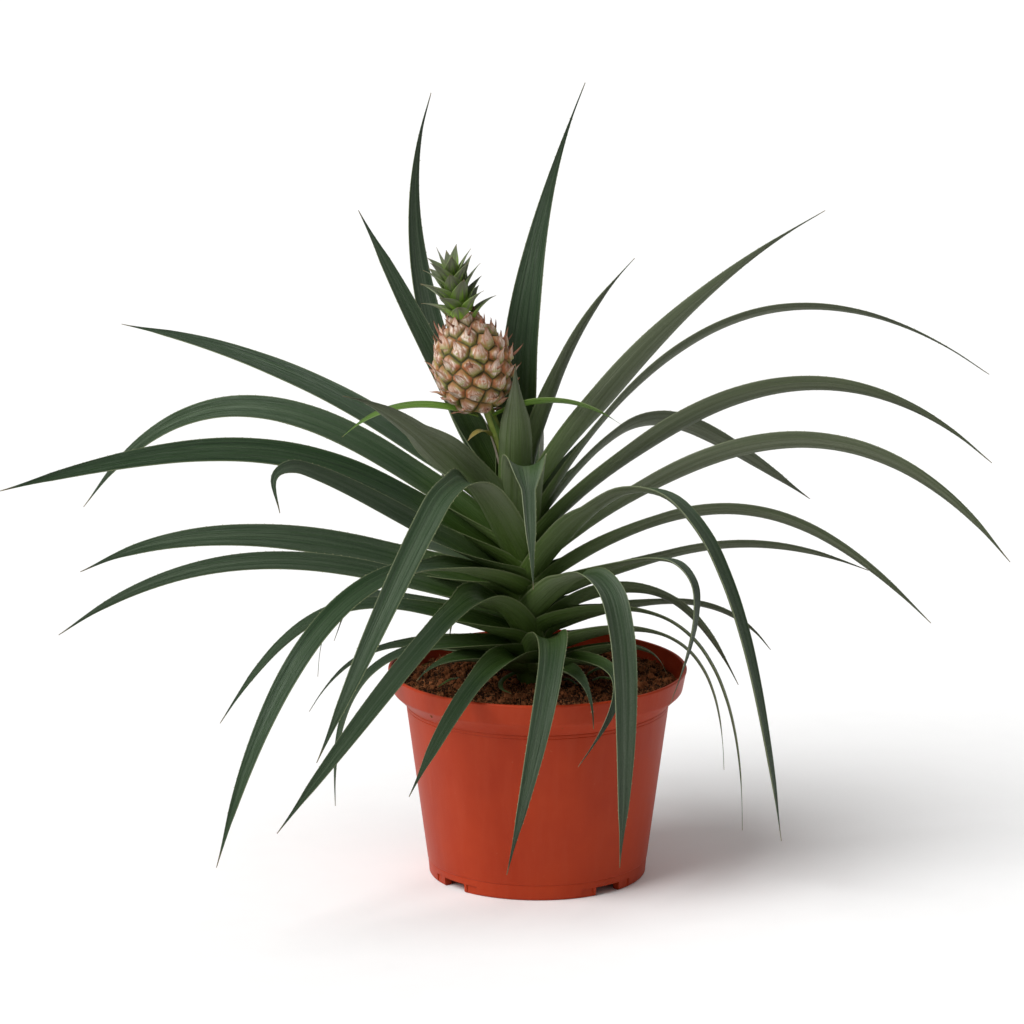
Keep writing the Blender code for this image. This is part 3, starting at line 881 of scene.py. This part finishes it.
teeth = dict(spacing=0.0042, length=0.00055, lean=0.9, fromFoot=0.015, bareRows=6, seed=5)


def spikeMesh(name, length, radius, sides, rings, bend):
    spots = [(0, 0, 0)]
    for ring in range(rings):
        share = ring / rings
        size = radius * (1 - share) ** 0.7
        spots += [(x, y + bend * share ** 2, length * share) for x, y in circle(size, sides)]
    spots.append((0, bend, length))
    last, low = len(spots) - 1, 1 + (rings - 1) * sides
    faces = ringFaces(rings - 1, sides, 1)
    for side in range(sides):
        after = (side + 1) % sides
        faces += [(0, 1 + after, 1 + side), (low + side, low + after, last)]
    return bpy.data.objects.new(name, meshFrom(name, spots, faces))


def marginTree(look):
    tree, given = newTree("marginTeeth", {"Spacing": "Float", "Tooth": "Object", "Lean": "Float",
                                          "Seed": "Int"})
    line = addNode(tree, "GeometryNodeMeshToCurve", {"Mesh": given["Geometry"]})
    even = addNode(tree, "GeometryNodeResampleCurve", {"Curve": line.outputs[0], "Length": given["Spacing"]},
                   mode="LENGTH")
    ahead = addNode(tree, "GeometryNodeInputTangent").outputs[0]
    tilted = addNode(tree, "ShaderNodeVectorMath", {0: ahead, "Scale": given["Lean"]},
                     operation="SCALE").outputs[0]
    aim = addNode(tree, "ShaderNodeVectorMath", {0: storedVector(tree, "outward"), 1: tilted},
                  operation="ADD").outputs[0]
    turn = addNode(tree, "FunctionNodeAxesToRotation", {"Primary Axis": aim, "Secondary Axis": ahead},
                   primary_axis="Z", secondary_axis="X").outputs[0]
    tooth = addNode(tree, "GeometryNodeObjectInfo", {"Object": given["Tooth"]}).outputs["Geometry"]
    put = addNode(tree, "GeometryNodeInstanceOnPoints",
                  {"Points": even.outputs[0], "Instance": tooth, "Rotation": turn,
                   "Scale": randomOf(tree, 0.55, 1.25, given["Seed"])})
    endTree(tree, put.outputs[0], look)
    return tree


def toothLook():
    look, tree, shader = newMaterial("paleTooth", 0.6)
    share = noiseOf(tree, objectSpot(tree), 300, 2)
    connect(tree, mixColour(tree, share, (0.20, 0.24, 0.11), (0.42, 0.38, 0.22)), shader.inputs["Base Color"])
    return look


def buildTeeth(look):
    spots, edges, outward = [], [], []
    for lines, fromFoot in margins:
        middle = lines.mean(1)
        for side in (0, 1):
            first = len(spots)
            for row in range(len(lines) - teeth["bareRows"]):
                if fromFoot[row] > teeth["fromFoot"]:
                    spots.append(lines[row, side])
                    outward.append(unit(lines[row, side] - middle[row]))
            edges += [(number, number + 1) for number in range(first, len(spots) - 1)]
    mesh = meshFrom("marginLines", spots, [], edges)
    setVector(mesh, "outward", outward)
    tooth = spikeMesh("tooth", teeth["length"], teeth["length"] * 0.33, 4, 1, 0)
    holder = newPiece("marginTeeth", mesh)
    applyTree(holder, marginTree(look),
              {"Spacing": teeth["spacing"], "Tooth": tooth, "Lean": teeth["lean"], "Seed": teeth["seed"]})
    piece = bakeNodes(holder, "marginTeeth", look)
    bpy.data.objects.remove(tooth)
    print("marginTeeth", len(piece.data.polygons))


buildTeeth(toothLook())


# Stem and stalk

stem = dict(shares=(0, 0.2, 0.95, 1), radii=(0.0088, 0.0088, 0.0058, 0.0036), sides=32, rows=30)
stalk = dict(low=0.0034, high=0.0028, bow=(0.0015, -0.0010, 0.0), sides=28, rows=30,
             leafWiden=1.9, leafRows=44, leafThick=0.0007, bractRows=26, bractThick=0.0005)


def tubeMesh(name, path, radii, sides):
    path = np.asarray(path, float)
    headings = unit(np.gradient(path, axis=0))
    aside = unit(np.cross(headings, (0.0, 1.0, 0.0)))
    across = np.cross(headings, aside)
    spots = []
    for middle, first, second, radius in zip(path, aside, across, radii):
        spots += [middle + (first * x + second * y) * radius for x, y in circle(1, sides)]
    rows = len(path) - 1
    ends = [tuple(reversed(range(sides))), tuple(rows * sides + side for side in range(sides))]
    mesh = meshFrom(name, spots, ringFaces(rows, sides) + ends)
    smooth(mesh, 50)
    return mesh


def stemLook(name, dark, pale, fibre):
    look, tree, shader = newMaterial(name, 0.55)
    spot = objectSpot(tree)
    strand = noiseOf(tree, stretched(tree, spot, (1, 1, 0.12)), 520, 3, 0.6)
    broad = noiseOf(tree, spot, 120, 3)
    colour = mixColour(tree, remap(tree, broad, 0.35, 0.65), dark, pale)
    colour = mixColour(tree, remap(tree, strand, 0.5, 0.7, 0, 0.6), colour, fibre)
    connect(tree, colour, shader.inputs["Base Color"])
    connect(tree, bumpOf(tree, strand, 0.0003), shader.inputs["Normal"])
    return look


def hugStalk(name, path, facing, halfWidth, start, end, turn, lift, look, tone, bloom):
    # a narrow bract pressed against the stalk, from one share of its length to another
    rows = stalk["bractRows"]
    shares = np.linspace(start, end, rows)
    spine = through(path, 200)[np.clip((shares * 199).astype(int), 0, 199)]
    local = np.linspace(0, 1, rows)
    angles = np.radians(facing + turn * local)
    out = np.stack([np.cos(angles), np.sin(angles), np.zeros(rows)], 1)
    sides = np.stack([-np.sin(angles), np.cos(angles), np.zeros(rows)], 1)
    reach = stalk["low"] + 0.0004 + lift * local ** 2
    middles = spine + out * reach[:, None]
    halves = halfWidth * np.clip((1 - local) / 0.4, 0.04, 1) ** 0.8
    curls = np.minimum(1.2, halves / stalk["low"])
    mesh, _ = bladeMesh(name, middles, -sides, halves, curls, stalk["bractThick"], tone, bloom)
    piece = newPiece(name, mesh, *look)
    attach(piece, "root")


def buildStem(stemSkin, stalkSkin, greenLook, dryLook):
    path = [stemMiddle(height) for height in np.linspace(stemLow[2], stemHigh[2], stem["rows"])]
    radii = np.interp(np.linspace(0, 1, stem["rows"]), stem["shares"], stem["radii"])
    piece = newPiece("stemCore", tubeMesh("stemCore", path, radii, stem["sides"]), stemSkin)
    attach(piece, "root")
    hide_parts("stem")
    low, high = endsOf("fruit_stalk")
    shares = np.linspace(0, 1, stalk["rows"])[:, None]
    path = low + (high - low) * shares + np.array(stalk["bow"]) * np.sin(math.pi * shares)
    radii = stalk["low"] + (stalk["high"] - stalk["low"]) * shares[:, 0]
    piece = newPiece("stalkCore", tubeMesh("stalkCore", path, radii, stalk["sides"]), stalkSkin)
    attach(piece, "root")
    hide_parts("fruit_stalk")
    hugStalk("stalkBractDry", path, 205, 0.0016, 0.02, 0.93, -10, 0.0002, dryLook, 0.9, 0.9)
    hugStalk("stalkBractGreen", path, 330, 0.0021, 0.0, 0.97, -50, 0.0004, greenLook, 0.5, 0.1)
    hugStalk("stalkBractBack", path, 80, 0.0024, 0.0, 0.7, 10, 0.0010, greenLook, 0.3, 0.2)


def buildStalkLeaf(node, name, look):
    rows = stalk["leafRows"]
    middles, sides, halves = crossSections(node)
    path, sideWay = through(middles, rows), unit(through(sides, rows))
    ending = np.clip((1 - np.linspace(0, 1, rows)) / 0.18, 0, 1)
    width = through(halves, rows)[:, 0] * stalk["leafWiden"] * (0.12 + 0.88 * ending ** 0.8)
    curls = 0.75 * np.clip(width / 0.001, 0.1, 1)
    mesh, _ = bladeMesh(name, path, sideWay, width, curls, stalk["leafThick"], 0.35, 0.15)
    piece = newPiece(name, mesh, *look)
    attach(piece, "root")
    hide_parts(node)


youngUpper = leafLook("youngUpper", (0.055, 0.13, 0.012), (0.10, 0.22, 0.022), (0.19, 0.31, 0.07),
                      (0.22, 0.28, 0.15), False, (0.17, 0.33, 0.02), 0.04)
youngUnder = leafLook("youngUnder", (0.07, 0.15, 0.02), (0.12, 0.23, 0.035), (0.20, 0.31, 0.09),
                      (0.22, 0.28, 0.15), True, (0.17, 0.33, 0.02), 0.04)
dryUpper = leafLook("dryBract", (0.16, 0.11, 0.06), (0.34, 0.28, 0.18), (0.52, 0.45, 0.33),
                    (0.50, 0.46, 0.38), True, (0.30, 0.28, 0.10), 0.012)
goldUpper = leafLook("goldBract", (0.20, 0.17, 0.03), (0.36, 0.28, 0.05), (0.45, 0.36, 0.12),
                     (0.42, 0.35, 0.15), False, (0.22, 0.26, 0.03), 0.01, 0.7)
buildStem(stemLook("stemSkin", (0.06, 0.075, 0.02), (0.13, 0.16, 0.035), (0.20, 0.15, 0.08)),
          stemLook("stalkSkin", (0.15, 0.22, 0.025), (0.25, 0.32, 0.05), (0.36, 0.38, 0.13)),
          (youngUpper, youngUnder), (dryUpper, dryUpper))
buildStalkLeaf("stalk_leaf_left", "stalkLeafLeft", (youngUpper, youngUnder))
buildStalkLeaf("stalk_leaf_right", "stalkLeafRight", (youngUpper, youngUnder))
buildStalkLeaf("stalk_bract", "stalkBract", (goldUpper, goldUpper))
print("stem and stalk made")


# Fruit

fruit = dict(eyes=66, goldenTurn=137.508, dome=0.0030, slim=0.86, shoulder=0.22, seam=0.0074,
             rows=190, steps=230, seed=11, stray=(0.007, 0.07), bractLow=-0.0020, bractHigh=0.0046,
             bractHalf=0.0031, bractRows=12)


def axisOf(node):
    # foot, direction and length of a turned solid
    spots = spotsOf(node)
    middle = spots.mean(0)
    way = np.linalg.svd(spots - middle)[2][0]
    way = way if way[2] > 0 else -way
    reach = (spots - middle) @ way
    wide = np.linalg.norm((spots - middle) - reach[:, None] * way, axis=1).max()
    return middle + way * reach.min(), way, reach.max() - reach.min(), wide


fruitFoot, fruitWay, fruitLength, fruitWide = axisOf("fruit")
fruitLean = Vector((0, 0, 1)).rotation_difference(Vector(fruitWay)).to_matrix()
fruitTurn = Matrix.Translation(fruitFoot) @ fruitLean.to_4x4()


def fruitReach(share):
    height = 0.02 + 0.96 * np.asarray(share, float)
    narrow = 1 - fruit["shoulder"] * ease(0.60, 1.0, share)
    return np.maximum(0.004, fruitWide * fruit["slim"] * narrow * np.sin(math.pi * height ** 0.88) ** 0.62)


def eyeCentres():
    # eyes on a golden-angle spiral, each with the same share of the skin
    shares = np.linspace(0, 1, 400)
    reach = fruitReach(shares)
    area = np.cumsum(reach * np.hypot(np.gradient(shares) * fruitLength, np.gradient(reach)))
    area = (area - area[0]) / (area[-1] - area[0])
    rng = np.random.default_rng(fruit["seed"])
    share = np.interp((np.arange(fruit["eyes"]) + 0.6) / fruit["eyes"], area, shares)
    share = np.clip(share + rng.uniform(-1, 1, fruit["eyes"]) * fruit["stray"][0], 0.01, 0.99)
    angle = np.radians(fruit["goldenTurn"]) * np.arange(fruit["eyes"])
    return share, angle + rng.uniform(-1, 1, fruit["eyes"]) * fruit["stray"][1]


def onFruit(share, angle):
    reach = fruitReach(share)
    slope = (fruitReach(share + 0.002) - fruitReach(share - 0.002)) / (0.004 * fruitLength)
    around = np.stack([np.cos(angle), np.sin(angle), np.zeros_like(angle)], -1)
    spot = around * reach[..., None]
    spot[..., 2] = share * fruitLength
    upward = unit(around * slope[..., None] + np.array((0, 0, 1.0)))
    outward = unit(around - slope[..., None] * np.array((0, 0, 1.0)))
    return spot, outward, upward


def rindLook():
    look, tree, shader = newMaterial("fruitRind", 0.62)
    spot = objectSpot(tree)
    seam, eyeUp, eyeSide = (attributeOf(tree, name) for name in ("seam", "eyeUp", "eyeSide"))
    fine = noiseOf(tree, spot, 700, 4, 0.7)
    broad = noiseOf(tree, spot, 130, 3, 0.6)
    upper = attributeOf(tree, "upper")
    # ribs fan out from a point above each eye
    fan = mathOf(tree, "ARCTAN2", eyeSide, mathOf(tree, "SUBTRACT", 0.0052, eyeUp))
    ribs = vectorOf(tree, times(tree, fan, 7.0), times(tree, eyeUp, 180), times(tree, broad, 3.0))
    ridge = noiseOf(tree, ribs, 1.0, 3, 0.6)
    flesh = mixColour(tree, remap(tree, broad, 0.35, 0.65), (0.15, 0.17, 0.025), (0.30, 0.24, 0.060))
    paper = mixColour(tree, remap(tree, ridge, 0.38, 0.58), (0.33, 0.17, 0.10), (0.74, 0.62, 0.52))
    shown = mathOf(tree, "ADD", remap(tree, seam, 0.26, 0.50), times(tree, upper, 0.5), True)
    colour = mixColour(tree, shown, flesh, paper)
    corner = remap(tree, mathOf(tree, "ABSOLUTE", eyeSide), 0.0020, 0.0036)
    corner = times(tree, corner, remap(tree, broad, 0.38, 0.52), True)
    colour = mixColour(tree, times(tree, corner, 0.85), colour, (0.36, 0.095, 0.030))
    colour = mixColour(tree, remap(tree, eyeUp, 0.0012, 0.0034, 0, 0.65), colour, (0.36, 0.12, 0.045))
    # painted shade: near-black along the sunken seams between the eyes, broken up by the broad noise
    grooveShade = mathOf(tree, "ADD", seam, times(tree, mathOf(tree, "SUBTRACT", broad, 0.5), 0.35))
    colour = mixColour(tree, remap(tree, grooveShade, 0.01, 0.18, 1.0, 0), colour, (0.050, 0.048, 0.010))
    colour = mixColour(tree, remap(tree, fine, 0.62, 0.75, 0, 0.6), colour, (0.16, 0.07, 0.035))
    connect(tree, colour, shader.inputs["Base Color"])
    rough = bumpOf(tree, fine, 0.0003)
    connect(tree, bumpOf(tree, ridge, 0.0004, rough), shader.inputs["Normal"])
    return look


def bractLook():
    look, tree, shader = newMaterial("paperyBract", 0.66, 0.35)
    across, along, tint = (attributeOf(tree, name) for name in ("across", "along", "tint"))
    spot = objectSpot(tree)
    ribs = vectorOf(tree, times(tree, across, 9.0), times(tree, along, 1.6), times(tree, tint, 40.0))
    rib = noiseOf(tree, ribs, 1.0, 3, 0.6)
    fine = noiseOf(tree, spot, 900, 3, 0.7)
    blotch = noiseOf(tree, spot, 260, 3, 0.6)
    paper = mixColour(tree, remap(tree, rib, 0.40, 0.58), (0.36, 0.19, 0.11), (0.78, 0.67, 0.57))
    paper = mixColour(tree, remap(tree, tint, 0.2, 1.0, 0, 0.5), paper, (0.60, 0.33, 0.22))
    paper = mixColour(tree, remap(tree, blotch, 0.54, 0.64, 0, 0.85), paper, (0.42, 0.12, 0.05))
    foot = mixColour(tree, remap(tree, along, 0.02, 0.34, 0.85, 0), paper, (0.26, 0.27, 0.07))
    edge = mathOf(tree, "ABSOLUTE", across)
    foot = mixColour(tree, remap(tree, edge, 0.62, 1.0, 0, 0.75), foot, (0.42, 0.17, 0.065))
    tip = mixColour(tree, remap(tree, along, 0.70, 0.98, 0, 0.95), foot, (0.30, 0.10, 0.045))
    connect(tree, mixColour(tree, remap(tree, fine, 0.62, 0.78, 0, 0.5), tip, (0.20, 0.09, 0.05)),
            shader.inputs["Base Color"])
    connect(tree, bumpOf(tree, rib, 0.0003), shader.inputs["Normal"])
    return look


def floretLook():
    look, tree, shader = newMaterial("driedFloret", 0.75)
    share = noiseOf(tree, objectSpot(tree), 500, 3)
    colour = mixColour(tree, share, (0.10, 0.035, 0.02), (0.34, 0.15, 0.08))
    connect(tree, colour, shader.inputs["Base Color"])
    return look


def buildFruitBody(look):
    rows, steps = fruit["rows"], fruit["steps"]
    shares = np.linspace(0.0, 1.0, rows + 1)
    angles = np.linspace(0, 2 * math.pi, steps, endpoint=False)
    share, angle = (grid.ravel() for grid in np.meshgrid(shares, angles, indexing="ij"))
    spot, outward, _ = onFruit(share, angle)
    centres, _, eyeUpward = onFruit(*eyeCentres())
    eyeAround = np.cross(eyeUpward, unit(centres * (1, 1, 0)))
    gaps = np.linalg.norm(spot[:, None] - centres[None], axis=2)
    nearest = np.argsort(gaps, axis=1)[:, :2]
    row = np.arange(len(spot))
    first, second = gaps[row, nearest[:, 0]], gaps[row, nearest[:, 1]]
    cell = np.clip((second - first) / fruit["seam"], 0, 1)
    rise = 0.4 * (1 - (1 - cell) ** 3) + 0.6 * cell
    away = spot - centres[nearest[:, 0]]
    up = np.sum(away * eyeUpward[nearest[:, 0]], axis=1)
    side = np.sum(away * eyeAround[nearest[:, 0]], axis=1)
    ends = ease(0.0, 0.05, share) * ease(1.0, 0.95, share)
    spot = spot + outward * (fruit["dome"] * rise * ends)[:, None]
    low, high = spot[:steps].mean(0), spot[-steps:].mean(0)
    spots = np.vstack([spot, low, high])
    faces = ringFaces(rows, steps)
    foot, top, last = len(spot), len(spot) + 1, rows * steps
    faces += [(foot, (step + 1) % steps, step) for step in range(steps)]
    faces += [(top, last + step, last + (step + 1) % steps) for step in range(steps)]
    mesh = meshFrom("fruitBody", spots, faces)
    upper = ease(0.72, 0.95, share)
    for name, values in (("seam", cell), ("eyeUp", up), ("eyeSide", side), ("upper", upper)):
        setFloat(mesh, name, np.append(values, (1, 1)))
    mesh.transform(fruitTurn)
    mesh.shade_smooth()
    piece = newPiece("fruitBody", mesh, look)
    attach(piece, "root")
    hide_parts("fruit")


def bractMesh():
    rows = fruit["bractRows"]
    share = np.linspace(0, 1, rows)
    middles = np.zeros((rows, 3))
    middles[:, 1] = fruit["bractLow"] + (fruit["bractHigh"] - fruit["bractLow"]) * share
    middles[:, 2] = 0.0019 + 0.0015 * np.sin(share * math.pi * 0.5) + 0.0014 * ease(0.55, 1.0, share)
    halves = fruit["bractHalf"] * (1 - share ** 1.5) ** 0.85 * (0.80 + 0.2 * np.sin(share * math.pi)) + 0.0001
    curls = np.clip(0.95 * halves / fruit["bractHalf"], 0.1, 1)
    sides = np.tile((-1.0, 0.0, 0.0), (rows, 1))
    mesh, _ = bladeMesh("bract", middles, sides, halves, curls, 0.0003, 0.3, 0.3)
    return bpy.data.objects.new("bract", mesh)


def eyeTree(look):
    tree, given = newTree("growOnEyes", {"Shape": "Object", "Smallest": "Float", "Largest": "Float",
                                         "Wobble": "Float", "Share": "Float", "Seed": "Int"})
    outward, upward = storedVector(tree, "outward"), storedVector(tree, "upward")
    turn = addNode(tree, "FunctionNodeAxesToRotation", {"Primary Axis": outward, "Secondary Axis": upward},
                   primary_axis="Z", secondary_axis="Y").outputs[0]
    sway = addNode(tree, "FunctionNodeRandomValue",
                   {0: times(tree, given["Wobble"], -1.0), 1: given["Wobble"], "Seed": given["Seed"]},
                   data_type="FLOAT_VECTOR").outputs[0]
    wobble = addNode(tree, "FunctionNodeEulerToRotation", {0: sway}).outputs[0]
    turned = addNode(tree, "FunctionNodeRotateRotation", {"Rotation": turn, "Rotate By": wobble},
                     rotation_space="LOCAL").outputs[0]
    size = randomOf(tree, given["Smallest"], given["Largest"], given["Seed"])
    scale = addNode(tree, "GeometryNodeInputNamedAttribute", {"Name": "size"}, data_type="FLOAT").outputs[0]
    some = addNode(tree, "FunctionNodeRandomValue", {"Probability": given["Share"], "Seed": given["Seed"]},
                   data_type="BOOLEAN")
    shape = addNode(tree, "GeometryNodeObjectInfo", {"Object": given["Shape"]}).outputs["Geometry"]
    points = addNode(tree, "GeometryNodeMeshToPoints", {"Mesh": given["Geometry"]}).outputs[0]
    put = addNode(tree, "GeometryNodeInstanceOnPoints",
                  {"Points": points, "Selection": some.outputs[3], "Instance": shape, "Rotation": turned,
                   "Scale": times(tree, size, scale)})
    endTree(tree, tinted(tree, put, given["Seed"]), look)
    return tree


def growOnEyes(name, shape, look, small, large, wobble, share, lean, lift, keep=None):
    # lean tips the shapes from straight out towards the crown, lift starts them that far off the skin
    eyeShare, angle = eyeCentres()
    spot, outward, upward = onFruit(eyeShare, angle)
    chosen = np.ones(len(spot), bool) if keep is None else keep(eyeShare, angle)
    aim = unit(outward + upward * lean)
    place = spot + outward * lift
    turn = np.array(fruitLean)
    size = 0.62 + 0.38 * ease(0.0, 0.16, eyeShare) * (1 - 0.45 * ease(0.82, 1.0, eyeShare))
    mesh = meshFrom(name, [fruitTurn @ Vector(spot) for spot in place[chosen]], [])
    setVector(mesh, "outward", aim[chosen] @ turn.T)
    setVector(mesh, "upward", upward[chosen] @ turn.T)
    setFloat(mesh, "size", size[chosen])
    holder = newPiece(name, mesh)
    applyTree(holder, eyeTree(look), {"Shape": shape, "Smallest": small, "Largest": large, "Wobble": wobble,
                                      "Share": share, "Seed": fruit["seed"]})
    piece = bakeNodes(holder, name, look)
    piece.data.shade_smooth()
    bpy.data.objects.remove(shape)
    print(name, len(piece.data.polygons))


buildFruitBody(rindLook())
growOnEyes("fruitBracts", bractMesh(), bractLook(), 0.9, 1.3, 0.27, 1.0, 0.0, 0.0004)
growOnEyes("fruitFlorets", spikeMesh("floret", 0.0075, 0.00080, 6, 5, 0.0016), floretLook(), 0.6, 1.1, 0.55,
           0.7, 0.9, 0.0030, lambda share, angle: (share > 0.40) & (np.cos(angle) > -0.1) | (share > 0.75))
print("fruit made")


# Crown

crown = dict(leaves=26, goldenTurn=137.508, height=0.0245, sunk=0.0036, coreLow=0.0062, coreHigh=0.0024,
             leanLow=72, leanHigh=44, length=(0.0150, 0.0188, 0.0170), half=(0.0052, 0.0056, 0.0042),
             thick=0.0009, rows=20, columns=10, seed=23)


def buildCrown(upper, under):
    rng = random.Random(crown["seed"])
    foot = Vector(fruitFoot) + Vector(fruitWay) * (fruitLength - crown["sunk"])
    meshes, rows = [], crown["rows"]
    for number in range(crown["leaves"]):
        share = number / (crown["leaves"] - 1)
        azimuth = math.radians(crown["goldenTurn"] * number + rng.uniform(-8, 8))
        lean = crown["leanLow"] + (crown["leanHigh"] - crown["leanLow"]) * share
        lean = math.radians(lean + rng.uniform(-6, 6))
        lean *= 1 if number < crown["leaves"] - 1 else 0.2
        length = float(np.interp(share, (0, 0.5, 1), crown["length"])) * rng.uniform(0.85, 1.08)
        half = float(np.interp(share, (0, 0.5, 1), crown["half"]))
        outward = Vector((math.cos(azimuth), math.sin(azimuth), 0))
        spot = outward * (crown["coreLow"] + (crown["coreHigh"] - crown["coreLow"]) * share)
        spot += Vector((0, 0, crown["height"] * share))
        aside = Vector((-math.sin(azimuth), math.cos(azimuth), 0))
        middles = []
        for row in range(rows + 1):
            middles.append(np.array(fruitLean @ spot) + np.array(foot))
            bend = lean * (0.45 + 0.65 * row / rows)
            spot = spot + (outward * math.sin(bend) + Vector((0, 0, math.cos(bend)))) * (length / rows)
        along = np.linspace(0, 1, rows + 1)
        halves = half * np.clip((1 - along), 0.012, 1) ** 0.85 * (0.85 + 0.35 * np.sin(np.pi * along ** 0.7))
        curls = 0.25 + 0.75 * (1 - along) * np.clip(halves / half, 0.1, 1)
        sides = np.tile(np.array(fruitLean @ -aside), (rows + 1, 1))
        tone, bloom = rng.uniform(0.2, 0.9), rng.uniform(0.35, 0.9)
        mesh, _ = bladeMesh("crownLeaf", middles, sides, halves, curls, crown["thick"], tone, bloom,
                            columns=crown["columns"])
        meshes.append(mesh)
    piece = newPiece("crownLeaves", joined("crownLeaves", meshes), upper, under)
    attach(piece, "root")
    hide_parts("crown")


buildCrown(leafLook("crownUpper", (0.045, 0.080, 0.024), (0.090, 0.145, 0.050), (0.17, 0.20, 0.10),
                    (0.26, 0.27, 0.19), False, (0.22, 0.40, 0.02), 0.008, 0.82),
           leafLook("crownUnder", (0.085, 0.110, 0.050), (0.135, 0.160, 0.080), (0.20, 0.215, 0.135),
                    (0.28, 0.285, 0.215), True, (0.22, 0.42, 0.02), 0.008, 0.82))
print("crown made")
